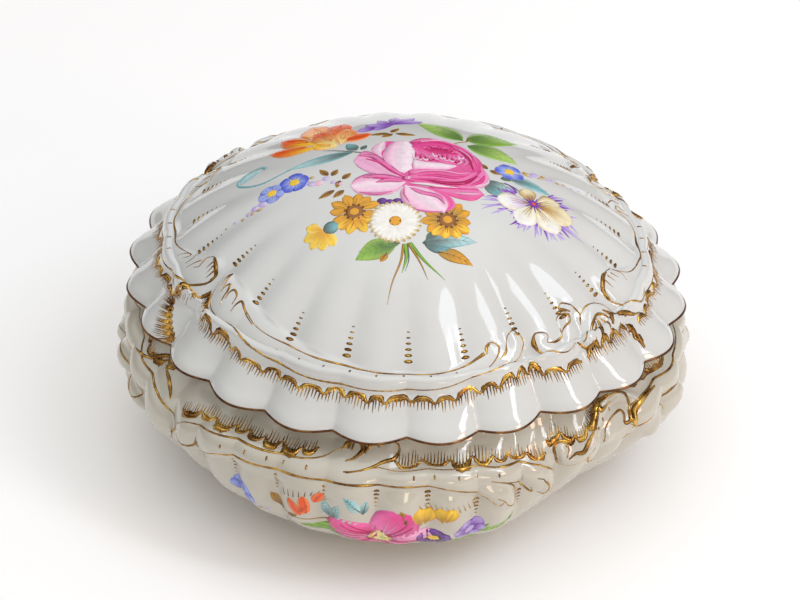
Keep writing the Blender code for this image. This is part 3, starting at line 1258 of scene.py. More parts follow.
def paint_rose(film, place):
    """The cabbage rose in the middle of the lid."""
    deep, full, mid, pale, white = ROSE_DEEP, ROSE, ROSE_MID, ROSE_PALE, ROSE_WHITE
    petals = (
        # Back left, with its shaded fold
        (
            [(-3, 0), (-8.2, 5.5), (-10.2, 9.0), (-9.2, 12.2), (-6.6, 13.9)],
            [(-3, 0), (-5, 5), (-5.4, 9), (-5.6, 12), (-6.6, 13.9)], (pale, white, pale)
        ),
        (
            [(-6.8, 4.6), (-8.0, 7.6), (-6.8, 9.6), (-6.7, 12.2), (-6.5, 14.0)],
            [(-6.8, 4.6), (-6.2, 7.4), (-5.2, 10.2), (-4.4, 12.4), (-3.8, 14.0)], (mid, full, mid)
        ),
        # Left, upper and lower
        (
            [(-0.4, -4.6), (-4.6, -1.0), (-8.2, 6.2), (-12.4, 8.8), (-15.1, 4.0)],
            [(-0.4, -4.8), (-4.7, -4.9), (-9, -3.6), (-13.6, 0.4), (-15.1, 4.0)], (mid, pale, pale)
        ),
        (
            [(-0.4, -6.4), (-4.6, -4.4), (-10, -2.6), (-14.2, -4.6), (-15.7, -8.0)],
            [(-0.4, -7.4), (-3.4, -11.4), (-8, -12.6), (-13.4, -11.4), (-15.7, -8.0)],
            (mid, white, pale)
        ),
        # Ground under the meeting of the petals
        (
            [(-3, -1), (-3, -5), (-1.6, -8.4), (2, -10)], [(-3, -1), (2, -2), (5, -5), (2, -10)],
            (mid, full, mid)
        ),
        # Right, outer and lower
        (
            [(13.6, -8.0), (18.4, -7.6), (21.8, -5.6), (23.0, -1.8), (20.4, 4.6)],
            [(13.6, -7.6), (17.2, -5.6), (19.2, -1.6), (19.6, 2), (20.4, 4.6)], (pale, mid, mid)
        ),
        (
            [(0.8, -8.2), (8, -9.2), (14.2, -7.6), (19.0, -7.2), (21.4, -9.4)],
            [(0.8, -8.4), (8.4, -10.2), (13.4, -12.4), (18.4, -12.6), (21.4, -9.4)],
            (mid, mid, full)
        ),
        # Bottom, turned over along its right side
        (
            [(-0.6, -8.2), (-1.9, -12), (-0.4, -16.2), (4.6, -19), (10.6, -18.6)],
            [(-0.6, -8.2), (5.6, -9.0), (11, -12), (13.1, -15.8), (10.6, -18.6)],
            (pale, white, pale)
        ),
        (
            [(0, -8.6), (5, -9.4), (9.2, -11.8), (11.2, -15), (10.6, -18.4)],
            [(0, -8.3), (6, -8.8), (11.6, -11.8), (13.4, -15.8), (10.6, -18.8)], (mid, full, mid)
        ),
        # The ball of the flower
        (
            [(0.4, -3), (-0.6, 4), (0.2, 13.4), (6.4, 16.6), (15.4, 12.4)],
            [(0.4, -3), (9, -2.8), (19, -1.6), (20.8, 5.6), (15.4, 12.4)], (full, mid, full)
        ),
        (
            [(-1.0, -3.0), (-5.4, 0.4), (-7.0, 6.4), (-4.8, 12.6), (-0.6, 14.4)],
            [(-1.0, -3.0), (1.6, 0.6), (2.8, 6.0), (1.6, 11), (-0.6, 14.4)], (pale, white, white)
        ),
        # Its turned-down front and the pale band above
        (
            [(0.2, -3.2), (4.4, -1.4), (9, -0.8), (14, -1.4), (19.4, 0.8)],
            [(0.2, -6.2), (5.4, -7.2), (11, -7.8), (16.6, -6.4), (19.4, -0.8)], (full, mid, full)
        ),
        (
            [(1.4, 4.4), (5.2, 3.2), (9, 3.0), (11, 2.6), (13.6, 2.2)],
            [(1.4, -1.4), (5.2, -0.7), (9, -0.4), (11.4, 0), (13.6, 1.6)], (white, white, pale)
        ),
        # The heart
        (
            [(1.0, 11.0), (5, 14.2), (9.4, 14.6), (12.6, 12.2), (14.6, 6.8)],
            [(1.0, 11.0), (3.2, 6.4), (7, 4.8), (11.4, 4.4), (14.6, 6.8)], (full, full, mid)
        ),
        (
            [(3.4, 10.2), (6.4, 12.6), (9.6, 12.8), (12.2, 11.2), (13.6, 8.2)],
            [(3.4, 10.2), (5.4, 7.2), (8, 6.4), (11, 6.4), (13.6, 8.2)], (deep, deep, full)
        ),
    )
    for k, (first, second, colours) in enumerate(petals):
        wash(film, place, first, second, colours, 0.8 + 0.4 * k, 0.10)
    folds = (
        # Shading of the left petals
        ([(-13.4, 6.4), (-9.4, 5.4), (-5.6, 0.6), (-1.0, -4.2)], 2.2, mid),
        ([(-11.6, 4.4), (-7.8, 2.4), (-4.6, -1.4), (-1.4, -4.4)], 1.1, full),
        ([(-12.2, -4.6), (-7.6, -4.2), (-3.6, -5.2), (-0.6, -6.6)], 2.1, mid),
        ([(-8.6, -7.0), (-5, -6.0), (-1.4, -6.8)], 1.8, mid),
        ([(-9.4, -5.2), (-5.4, -5.2), (-1.2, -6.4)], 0.9, full),
        ([(-13, -10.9), (-8.4, -12.0), (-4, -11.0)], 1.0, mid),
        ([(-6.6, 3.8), (-5.2, 0.4), (-2.6, -2.8), (0, -4.6)], 1.1, mid),
        ([(-6.7, 8), (-6.5, 4), (-4.4, 0)], 0.5, pale),
        # Inside the bottom petal
        ([(1.4, -9.4), (4.6, -11.4), (8.6, -12.6), (10.4, -15.4)], 1.6, mid),
        ([(0.6, -9.2), (3.2, -11.2), (6.2, -12.4)], 1.0, mid),
        ([(-0.6, -9.4), (-0.8, -12), (0.8, -15.6)], 0.6, mid),
        ([(2, -18), (6, -18.8), (10, -18.4)], 0.6, mid),
        # Right petals
        ([(6, -9.0), (13, -8.6), (19.6, -8.0)], 0.6, full),
        ([(13, -10.6), (17, -10.2), (20.2, -9.6)], 1.2, pale),
        ([(17.6, -6.4), (20.4, -4.0), (21.6, -0.8)], 1.2, full),
        ([(18.8, -6.8), (22.0, -4.6), (22.8, -2.2)], 0.5, white),
        # Round the ball
        ([(1.0, 13.4), (6.4, 15.8), (13, 13.8), (18, 9), (19.8, 2.8)], 0.9, mid),
        ([(2.8, 13.2), (8.6, 14.8), (14.2, 12.2), (17.4, 8.0), (18.4, 2.6)], 1.3, full),
        ([(12, 12.2), (15.8, 8.6), (17.6, 4.6), (18.4, 0.6)], 1.0, deep),
        ([(3.6, 14.0), (9, 15.3), (14.4, 13.0)], 0.5, white),
        ([(14.4, 11.4), (17.4, 7.4), (18.6, 2.2)], 0.5, pale),
        ([(15.2, 7.6), (16.6, 4.6), (15.4, 2.4)], 1.6, mid),
        ([(13.6, 6.6), (15, 4.4), (13.8, 2.8)], 1.0, pale),
        # Under the pale band, and the lip of the turned-down front
        ([(1.2, -3.0), (5, -1.4), (9.6, -1.0), (14.2, -1.6), (17.6, -0.6)], 0.6, pale),
        ([(3, -4.0), (8, -3.4), (13.4, -3.8), (17.0, -2.0)], 1.3, full),
        ([(5, -5.8), (10.6, -6.6), (15.8, -5.6), (19.6, -1.6)], 1.5, deep),
        ([(1.4, -5.4), (6, -5.4), (10.6, -5.0)], 0.9, full),
        ([(0.8, -7.4), (5, -7.6), (9.6, -8.2), (14, -8.4)], 1.5, white),
        ([(1.4, -6.8), (6, -7.2), (11, -7.9)], 0.5, mid),
        ([(0.4, -4.2), (-0.6, -5.0), (0.6, -6.0)], 1.6, mid),
        ([(0.9, -4.6), (0.2, -5.0), (0.8, -5.6)], 0.6, white),
    )
    for k, (points, width, colour) in enumerate(folds):
        brush_line(film, place, points, width, colour, 7.0 + 0.05 * k, "both", 24)
    # Small curled petals in the heart
    for k in range(26):
        x = 2.2 + 0.5 * k + RNG.uniform(-0.3, 0.3)
        y = 5.4 + 1.3 * math.sin(k * 2.1) + RNG.uniform(-0.5, 0.5)
        curl = [(x - 0.6, y + 1.2), (x - 0.2, y - 0.3), (x + 0.7, y - 0.5), (x + 1.1, y + 0.7)]
        brush_line(
            film, place, curl, 0.65, (white, full, pale, deep, mid)[k % 5], 8.8 + 0.05 * k, "both",
            12
        )
    for k in range(11):
        x = 4.0 + 0.9 * k
        rise = 11.2 - 0.09 * (x - 8) ** 2
        curl = [(x - 0.8, rise - 0.5), (x + 0.2, rise + 0.3), (x + 1.3, rise - 0.6)]
        brush_line(film, place, curl, 0.5, (full, mid, deep)[k % 3], 9.2 + 0.05 * k, "both", 10)


def paint_lid_leaves(film, place):
    """Green, teal and slate leaves, stems and small twigs round the flowers."""
    leaf(film, place, (15.5, 17.5), (2.5, 28), 8.2, (GREEN_DARK, GREEN_PALE, GREEN), bend=-0.8)
    leaf(film, place, (16.5, 17.8), (31.5, 24.5), 8.8, (GREEN_DARK, GREEN, GREEN), bend=1.0)
    leaf(film, place, (16.8, 14.5), (31, 9.6), 8.0, (GREEN_DARK, GREEN_PALE, GREEN), bend=1.0)
    brush_line(film, place, [(11.5, 13), (14, 15.5), (17, 17.5), (18, 20)], 0.5, OCHRE, 1)
    leaf(film, place, (-2.8, -30.6), (-13.5, -34.2), 6.4, (GREEN_DARK, GREEN, GREEN_PALE), bend=-1.0)
    leaf(film, place, (-1.5, -29.6), (-8, -30.5), 2.6, (SLATE, GREEN, GREEN), layer=0.5)
    leaf(film, place, (4.5, -29.6), (19.5, -27.6), 5.2, (SLATE, TEAL_PALE, TEAL), SLATE, bend=0.6)
    leaf(film, place, (5, -29.8), (13, -31.8), 3.6, (SLATE, TEAL, SLATE), SLATE)
    leaf(film, place, (8.5, -32), (18.5, -35), 4.0, (OCHRE, AMBER, OCHRE), BROWN, bend=0.6)
    leaf(film, place, (5.5, -28.5), (9.5, -25.6), 3.0, (SLATE, SLATE, GREEN_DARK), SLATE)
    leaf(film, place, (-5, -32.6), (-6.8, -35.2), 2.2, (OCHRE, AMBER, OCHRE), BROWN)
    for points, width, colour in (
        ([(-0.6, -30), (-1.3, -35.3), (-3.4, -41), (-4.6, -46.5)], 0.75, OCHRE),
        ([(-0.2, -30), (0.2, -34), (-0.8, -38.4)], 1.5, GREEN),
        ([(0.4, -30), (0.9, -34.5), (0, -38)], 0.5, SLATE),
        ([(1.1, -29.7), (5.4, -35.2), (10.8, -39.8)], 1.2, GREEN),
        ([(1.6, -30.2), (5.9, -35.8)], 0.4, SLATE),
        ([(0.6, -29.7), (3.9, -35.3), (6.2, -40.2)], 0.8, OCHRE),
    ):
        brush_line(film, place, points, width, colour, 1.4, "end", 22)
    # Long curled ribbon leaf at the left
    petal(film, place, (-15.5, 8.6), (-34, 4.6), 4.2, (SLATE, TEAL_PALE, TEAL), 0.4, 0.4, "leaf")
    brush_line(
        film, place,
        [
            (-14.5, 8.8), (-24, 8.4), (-33, 4.4), (-41, 1.8), (-47.5, 5.0), (-45.5, 10.2),
            (-41.5, 11.2), (-40, 9.2)
        ],
        1.15, TEAL, 0.6, "start", 40
    )
    petal(film, place, (-46.8, 5.4), (-41.4, 9.6), 3.4, (TEAL_PALE, TEAL_PALE, TEAL), 0.3, 0.6, "round")
    brush_line(film, place, [(-10, 7), (-17, 9.4), (-24, 11.5)], 0.5, SLATE, 1.2)
    leaf(film, place, (-14.4, 9.6), (-17.4, 13.8), 3.6, (SLATE, TEAL, SLATE), SLATE)
    leaf(film, place, (-13.2, 9.8), (-11.6, 12.2), 1.8, (SLATE, SLATE, SLATE), SLATE)
    # Teal and slate leaves at the right
    leaf(film, place, (28, 0.4), (40.5, -1.6), 4.4, (SLATE, TEAL, TEAL_PALE), SLATE, bend=0.8)
    leaf(film, place, (21.5, -4), (27, -9.6), 4.2, (SLATE, TEAL, SLATE), SLATE)
    leaf(film, place, (22, -3), (29, -4.8), 3.0, (SLATE, TEAL_PALE, SLATE), SLATE, layer=0.4)
    leaf(film, place, (26, -0.6), (30.5, 1.4), 2.4, (SLATE, SLATE, GREEN_DARK), SLATE)
    brush_line(film, place, [(26, -2.4), (30, -3.4), (34, -7.5)], 0.45, SLATE, 1)
    for start, end in (
        ((22.5, 3), (19.8, 5.4)), ((23, 2.4), (26.5, 1.6)), ((-18, -4.4), (-15.6, -2)),
        ((-18.6, -5), (-19.5, -8)), ((-20, -9), (-24.5, -11.6)), ((-17.4, -9.4), (-20.4, -12)),
        ((-22, -2), (-24.6, 1.4)), ((-21, -2.4), (-19.4, 0.4)), ((-5, 20), (-2.6, 23)),
        ((-5.4, 19.4), (-11, 18.6)), ((-3.6, 19.2), (2.2, 18.2)), ((-4.4, 19), (-7.6, 16.8))
    ):
        leaf(film, place, start, end, 2.0, (BROWN, OCHRE, OCHRE), BROWN, 0.5)
    leaf(film, place, (2.2, -17.6), (3.8, -13.8), 2.4, (SLATE, GREEN, SLATE), SLATE)


def paint_lid_blooms(film, place):
    """The smaller flowers of the lid's bouquet."""
    # Orange tulip, open to the left and back
    tulip = (
        ((-24, 14.5), (-39.5, 17.5), 6.0, (YELLOW, ORANGE, ORANGE_PALE), 1.2),
        ((-25, 16), (-36.5, 25.5), 7.0, (YELLOW, ORANGE, ORANGE_PALE), 0.8),
        ((-24, 17), (-28, 33), 9.0, (YELLOW, ORANGE_PALE, ORANGE), 0.4),
        ((-22, 17), (-19, 31), 8.0, (ORANGE_PALE, ORANGE, ORANGE), 0.2),
        ((-22, 16.4), (-10.5, 19.5), 4.6, (ORANGE, ORANGE, ORANGE_PALE), -0.8),
        ((-20, 13), (-26, 26), 8.5, (YELLOW_PALE, ORANGE, ORANGE_PALE), 0.6),
        ((-19, 13.5), (-17.5, 25), 7.0, (YELLOW_PALE, ORANGE_PALE, ORANGE), 0.0),
        ((-20, 12.4), (-27, 16.5), 5.0, (YELLOW_PALE, YELLOW, ORANGE_PALE), 0.4),
    )
    for k, (start, end, width, colours, bend) in enumerate(tulip):
        petal(film, place, start, end, width, colours, 0.5 + 0.3 * k, bend, "petal", 0.2)
        start, end = np.array(start, float), np.array(end, float)
        for shift in (-0.9, 0.2, 1.1):
            middle = (start + end) / 2 + (shift, shift * 0.4)
            brush_line(
                film, place, [start + (end - start) * 0.3, middle, start + (end - start) * 0.88],
                0.34, ORANGE, 3.4, "end"
            )
    # Violet flower behind, half turned away
    for k, end in enumerate((
        (-11.5, 22.8), (-12.5, 26.5), (-9.0, 30.5), (-3.5, 33.5), (1.8, 33.0), (4.0, 29.5)
    )):
        petal(
            film, place, (-4.2, 26.2), end, 3.4, (VIOLET, LILAC, VIOLET), 0.5 + 0.1 * k, 0.4,
            streak=0.25
        )
        brush_line(film, place, [(-4.6, 26.4), end], 0.4, VIOLET, 2.2, "end")
    petal(film, place, (-14.5, 22.0), (-9.2, 24.6), 3.8, (LILAC, VIOLET, VIOLET), 1.6, shape="round")
    # Forget-me-nots
    bloom(
        film, place, (-37.6, -4.6), 4.1, 5, (BLUE_PALE, BLUE_PALE, BLUE), (YELLOW, AMBER), 1.0, 20,
        0.95
    )
    bloom(film, place, (-31.4, -2.4), 4.4, 5, (BLUE_PALE, BLUE, BLUE), (YELLOW, ORANGE), 1.6, 50, 0.95)
    bloom(
        film, place, (28.6, 4.0), 4.2, 5, (BLUE_PALE, BLUE, BLUE_PALE), (YELLOW, AMBER), 1.0, 10,
        0.95
    )
    buds(film, place, [(-26.5, -2.2), (-27.8, -2.8)], (1.5, 1.2), (OCHRE,))
    buds(
        film, place, [(-40, -8.6), (-42.4, -9.2), (-45, -10.4), (-50.5, -11)],
        (3.0, 2.0, 2.4, 1.6, 1.6, 1.2, 0.9, 0.7), (LILAC, OCHRE, LILAC, OCHRE)
    )
    buds(
        film, place, [(33.5, 4.8), (38, 6.2), (43, 6.8), (51, 8.6)],
        (2.6, 1.6, 2.8, 1.6, 2.0, 1.4, 1.4, 1.1, 1.0, 0.8, 0.7, 0.6), (OCHRE, LILAC, LILAC, OCHRE)
    )
    buds(
        film, place, [(-26.5, -5.2), (-22.5, -3.8), (-18.6, -6.8)], (2.6, 2.8, 2.2, 1.6, 1.8),
        (LILAC, ROSE_PALE, LILAC)
    )
    # Daisies: amber, white and yellow
    bloom(film, place, (-14.4, -18.0), 7.2, 11, (AMBER, AMBER, OCHRE), (AMBER, BROWN), 1.0, 0, 0.42)
    bloom(
        film, place, (-13.8, -19.8), 6.4, 4, (AMBER, YELLOW, AMBER), (AMBER, ORANGE), 2.0, 200,
        0.45, (0, 150)
    )
    bloom(film, place, (11.2, -21.0), 7.2, 11, (OCHRE, AMBER, OCHRE), (OCHRE, BROWN), 1.0, 12, 0.42)
    bloom(
        film, place, (11.6, -21.8), 6.4, 4, (AMBER, YELLOW, AMBER), (OCHRE, BROWN), 2.0, 210, 0.45,
        (0, 140)
    )
    for middle in ((-14.2, -18.4), (11.3, -21.2)):
        stamens(film, place, middle, 2.7, 11, BROWN, 5.2)
        dot(film, place, middle, 4.8, RUSSET, 5.4)
        dot(film, place, middle, 3.4, AMBER, 5.8)
        dot(film, place, (middle[0] - 0.4, middle[1] + 0.4), 1.8, YELLOW, 6.0)
        dot(film, place, middle, 1.0, BROWN, 6.4)
    for degrees in (150, 195, 235, 270, 305):
        petal(
            film, place, (-22.5, -23.6), around((-22.5, -24.4), 5.6, degrees), 3.6,
            (AMBER, YELLOW, YELLOW_PALE), 1 + degrees / 400, shape="petal"
        )
    petal(film, place, (-22.6, -23.4), (-18.4, -22.6), 4.2, (SLATE, TEAL, SLATE), 2.6, shape="round")
    for spot in ((-6.6, -15.2), (-4.6, -15.8), (-2.4, -15.4), (0, -16.2), (1.4, -17.2)):
        petal(
            film, place, (spot[0] - 1.6, spot[1]), (spot[0] + 1.2, spot[1] + 0.8), 2.4,
            (PLUM, VIOLET, PLUM), 1.0, shape="round"
        )
    centre = (-3.0, -22.4)
    dot(film, place, centre, 13.6, CHALK, 2.0)
    for k in range(26):
        petal(
            film, place, around(centre, 1.8, 360 * k / 26), around(centre, 6.9, 360 * k / 26 + 3),
            1.5, (CHALK, CHALK, CHALK), 3.6, shape="petal", streak=0.06
        )
        petal(
            film, place, around(centre, 5.9, 360 * k / 26 - 5),
            around(centre, 7.4, 360 * k / 26 + 2), 0.9, (IVORY, OCHRE, IVORY), 4.2, shape="round"
        )
    dot(film, place, centre, 3.4, AMBER, 5.2)
    stamens(film, place, centre, 1.2, 6, BROWN, 5.8)
    dot(film, place, centre, 1.3, BROWN, 6.2)
    # Fringed ivory flower with a violet edge
    heart = (35.2, -8.2)
    for k in range(92):
        degrees = 150 + 262 * k / 91 + RNG.uniform(-5, 5)
        reach = 12.4 * RNG.uniform(0.62, 1.08)
        reach *= 1.22 if 188 < degrees < 216 or 326 < degrees < 350 else 0.98
        bend = RNG.uniform(-0.9, 0.9)
        tip = around(heart, reach, degrees + RNG.uniform(-8, 8))
        shade = (VIOLET, LILAC, LILAC) if k % 3 else (VIOLET, VIOLET, VIOLET)
        petal(
            film, place, around(heart, 5.4, degrees), tip, 0.75, shade, 0.3 + 0.01 * k, bend,
            "stroke"
        )
    for degrees, length, width, colours in (
        (190, 10.6, 7.0, (LILAC, CHALK, IVORY)),
        (245, 10.2, 6.8, (IVORY, CHALK, CHALK)),
        (305, 10.8, 7.8, (IVORY, CHALK, IVORY)),
        (352, 11.2, 7.4, (OCHRE, IVORY, IVORY)),
        (30, 8.4, 6.0, (IVORY, IVORY, OCHRE)),
        (110, 6.4, 5.2, (OCHRE, IVORY, OCHRE)),
    ):
        petal(
            film, place, around(heart, 0.6, degrees), around(heart, length, degrees), width,
            colours, 1.8 + degrees / 500, 0.3, "petal", 0.1
        )
        for shift in (-9, 0, 9):
            brush_line(
                film, place,
                [around(heart, 1.6, degrees + shift), around(heart, length * 0.62, degrees + shift)],
                0.3, OCHRE, 4.0, "end", 8
            )
    for degrees in range(0, 360, 30):
        brush_line(
            film, place, [around(heart, 0.5, degrees), around(heart, 3.2, degrees + 8)], 0.7,
            VIOLET, 4.4, "end", 8
        )
    dot(film, place, heart, 1.8, ORANGE, 5.4)


def paint_spray(film, place):
    """The spray on the belly: a wild rose among small flowers."""
    leaf(film, place, (-9, -5), (-26, -1.5), 5.0, (GREEN_DARK, GREEN, GREEN), bend=-0.8)
    leaf(film, place, (8, -8.5), (27, -10), 5.0, (GREEN_DARK, GREEN_PALE, GREEN))
    leaf(film, place, (22, -6), (36.5, -0.6), 3.4, (GREEN, GREEN_PALE, GREEN), bend=-0.6)
    leaf(film, place, (24, -4.6), (27.4, -0.6), 1.7, (GREEN_DARK, GREEN, GREEN))
    leaf(film, place, (-30, 1.5), (-33.6, 7), 3.4, (BROWN, OCHRE, OCHRE), BROWN)
    leaf(film, place, (-28.5, 0.6), (-25, 3.4), 2.0, (BROWN, OCHRE, OCHRE), BROWN)
    leaf(film, place, (-16, 3.6), (-18.6, 9), 3.4, (SLATE, TEAL_PALE, TEAL), SLATE)
    leaf(film, place, (-15.6, 4), (-14, 9.4), 2.8, (SLATE, TEAL_PALE, TEAL), SLATE)
    leaf(film, place, (-8, 8.4), (-12.4, 12.6), 3.0, (TEAL_PALE, TEAL, TEAL_PALE), SLATE)
    leaf(film, place, (-7.4, 7.4), (-6.6, 11.6), 2.2, (SLATE, TEAL_PALE, TEAL), SLATE)
    leaf(film, place, (4.2, 5), (2.4, 9.6), 3.0, (BROWN, OCHRE, OCHRE), BROWN)
    brush_line(film, place, [(-30, 1), (-20, 2), (-10, 1)], 0.5, OCHRE, 0.6)
    for degrees, length, width, colours in (
        (305, 10.0, 9, (ROSE_DEEP, ROSE, ROSE_PALE)),
        (235, 9.5, 9, (ROSE_DEEP, ROSE, ROSE_PALE)),
        (4, 16.0, 8.0, (ROSE_MID, ROSE_PALE, ROSE_PALE)),
        (157, 15.5, 11, (ROSE_DEEP, ROSE, ROSE_MID)),
        (58, 14.0, 13.5, (ROSE_MID, ROSE, ROSE_MID)),
    ):
        petal(
            film, place, around((-3, -3.4), 0.5, degrees), around((-3, -3.4), length, degrees),
            width, colours, 1 + degrees / 300, shape="round", streak=0.25
        )
        for shift in (-20, -9, 4, 17):
            tip = around((-3, -3.4), length * 0.78, degrees + shift)
            brush_line(
                film, place, [around((-3, -3.4), 2.6, degrees + shift), tip], 0.45,
                ROSE_DEEP if shift < 0 else ROSE_PALE, 3.4, "end"
            )
    dot(film, place, (-3, -3.4), 6.6, YELLOW_PALE, 3.4)
    stamens(film, place, (-3, -3.4), 3.6, 18, BROWN, 4.4)
    stamens(film, place, (-3, -3.4), 2.7, 13, AMBER, 4.5)
    dot(film, place, (-3, -3.4), 2.4, GREEN_PALE, 4.0)
    stamens(film, place, (-3, -3.4), 1.3, 7, GREEN_DARK, 4.6)
    for start, end in (
        ((-24, 3.6), (-27.6, 8.4)), ((-22.6, 4.6), (-23.6, 10.4)), ((-20.6, 8.6), (-18.6, 12.2)),
        ((-25, 4.2), (-22, 8))
    ):
        petal(
            film, place, start, end, 3.2, (ORANGE, ORANGE, ORANGE_PALE), 1.4, shape="round",
            streak=0.35
        )
    for k in range(7):
        brush_line(
            film, place, [(-29 + 1.5 * k, 8.5 + 0.5 * k), (-29.6 + 1.7 * k, 10.6 + 0.4 * k)], 0.35,
            BROWN, 1, "end", 5
        )
    for start, end in (
        ((8, 2.6), (7.4, 9)), ((9, 2.6), (10.6, 8.6)), ((13.6, 4), (13, 9)),
        ((14.4, 4.4), (17, 8.6))
    ):
        petal(film, place, start, end, 4.2, (OCHRE, YELLOW, AMBER), 1.2, shape="petal", streak=0.25)
    for k in range(11):
        brush_line(
            film, place, [(8 + 1.5 * k, 8.6 - 0.2 * k), (7.2 + 1.5 * k, 10.4 - 0.15 * k)], 0.4,
            OCHRE, 1, "end", 5
        )
    bloom(film, place, (11.6, -4.4), 5.4, 6, (PLUM, VIOLET, PLUM), (YELLOW, AMBER), 2.4, 0, 0.9)
    bloom(film, place, (21.8, -2.4), 5.2, 6, (VIOLET, LILAC, VIOLET), (LILAC, VIOLET), 1.2, 25, 0.9)
    bloom(film, place, (-43, 3), 5.0, 5, (BLUE, BLUE_PALE, BLUE), (BLUE_PALE, BLUE), 1.0, 15, 0.95)
    buds(film, place, [(-39, -1), (-35, -1.6)], (2.4, 1.8, 1.6), (LILAC, OCHRE))


def enamel_material():
    """Overglaze enamel: the painted colours, slightly uneven, under a soft shine."""
    material, tree, shader = node_material("overglaze_enamel", (0.8, 0.3, 0.4), 0.2)
    paint = tree.nodes.new("ShaderNodeVertexColor")
    paint.layer_name = "paint"
    cloud = ramp(tree, noise(tree, 700, 3), ((0.3, (0.86, 0.86, 0.86)), (0.7, (1.0, 1.0, 1.0))))
    mix = tree.nodes.new("ShaderNodeMix")
    mix.data_type = "RGBA"
    mix.blend_type = "MULTIPLY"
    mix.inputs["Factor"].default_value = 1.0
    tree.links.new(paint.outputs["Color"], mix.inputs["A"])
    tree.links.new(cloud, mix.inputs["B"])
    tree.links.new(mix.outputs["Result"], shader.inputs["Base Color"])
    tree.links.new(mapped(tree, noise(tree, 400, 2), 0.14, 0.26), shader.inputs["Roughness"])
    return material


def painted(name, material, *jobs):
    """A piece made by painters, each with the place that it paints on."""
    film = Film()
    for painter, place in jobs:
        painter(film, place)
    return film.build(name, material)


# ---------------------------------------------------------------- materials
def node_material(name, colour, roughness):
    """A new Principled material, with its node tree and shader."""
    material = bpy.data.materials.new(name)
    material.use_nodes = True
    nodes = material.node_tree.nodes
    shader = nodes["Principled BSDF"]
    shader.inputs["Base Color"].default_value = (*colour, 1.0)
    shader.inputs["Roughness"].default_value = roughness
    return material, material.node_tree, shader


def noise(tree, scale, detail=3.0):
    """A noise texture in object coordinates, scale in cells a metre."""
    where = tree.nodes.new("ShaderNodeTexCoord")
    texture = tree.nodes.new("ShaderNodeTexNoise")
    texture.inputs["Scale"].default_value = scale
    texture.inputs["Detail"].default_value = detail
    tree.links.new(where.outputs["Object"], texture.inputs["Vector"])
    return texture.outputs["Fac"]


def ramp(tree, value, stops):
    node = tree.nodes.new("ShaderNodeValToRGB")
    while len(node.color_ramp.elements) < len(stops):
        node.color_ramp.elements.new(0.5)
    for element, (place, colour) in zip(node.color_ramp.elements, stops):
        element.position = place
        element.color = (*colour, 1.0)
    tree.links.new(value, node.inputs["Fac"])
    return node.outputs["Color"]


def mapped(tree, value, low, high):
    node = tree.nodes.new("ShaderNodeMapRange")
    node.inputs["From Min"].default_value = 0.3
    node.inputs["From Max"].default_value = 0.7
    node.inputs["To Min"].default_value = low
    node.inputs["To Max"].default_value = high
    tree.links.new(value, node.inputs["Value"])
    return node.outputs["Result"]


def bump(tree, shader, height, strength, distance):
    node = tree.nodes.new("ShaderNodeBump")
    node.inputs["Strength"].default_value = strength
    node.inputs["Distance"].default_value = distance
    tree.links.new(height, node.inputs["Height"])
    tree.links.new(node.outputs["Normal"], shader.inputs["Normal"])


def glaze_material(name, light, shade):
    """Clear glaze over white porcelain: faint cloudiness, and a surface that isn't quite flat."""
    material, tree, shader = node_material(name, light, 0.07)
    tree.links.new(
        ramp(tree, noise(tree, 38, 4), ((0.35, shade), (0.65, light))), shader.inputs["Base Color"]
    )
    tree.links.new(mapped(tree, noise(tree, 150, 2), 0.05, 0.11), shader.inputs["Roughness"])
    bump(tree, shader, noise(tree, 70, 2), 0.05, 0.0004)
    shader.inputs["IOR"].default_value = 1.52
    shader.inputs["Coat Weight"].default_value = 0.35
    shader.inputs["Coat Roughness"].default_value = 0.03
    return material


def biscuit_material():
    """Bare fired porcelain, where the glaze was wiped away."""
    material, tree, shader = node_material("biscuit", (0.78, 0.76, 0.71), 0.6)
    tree.links.new(
        ramp(tree, noise(tree, 900, 5), ((0.3, (0.66, 0.63, 0.57)), (0.7, (0.82, 0.80, 0.76)))),
        shader.inputs["Base Color"],
    )
    bump(tree, shader, noise(tree, 2500, 3), 0.3, 0.0001)
    return material


def gold_material(name, stops):
    """Burnished gold, thin in places, with brown patches that are painted dark reflection."""
    material, tree, shader = node_material(name, stops[1][1], 0.25)
    shader.inputs["Metallic"].default_value = 1.0
    tree.links.new(
        ramp(tree, noise(tree, 260, 4), stops),
        shader.inputs["Base Color"],
    )
    tree.links.new(mapped(tree, noise(tree, 500, 3), 0.16, 0.36), shader.inputs["Roughness"])
    bump(tree, shader, noise(tree, 1400, 3), 0.25, 0.0001)
    return material


# ---------------------------------------------------------------- camera, light and floor
VIEW_AZIMUTH = -15.0  # degrees; 0 looks along +Y
VIEW_ELEVATION = 37.2
VIEW_DISTANCE = 0.8
VIEW_ROLL = 1.25
VIEW_TARGET = np.array((0.0, 0.0, 0.045))
LENS = 125.0
SHIFT = (-0.0059, -0.0079)
WORLD_STRENGTH = 1.45
FLOOR_GAP = 0.0005  # metres from the foot down to the floor


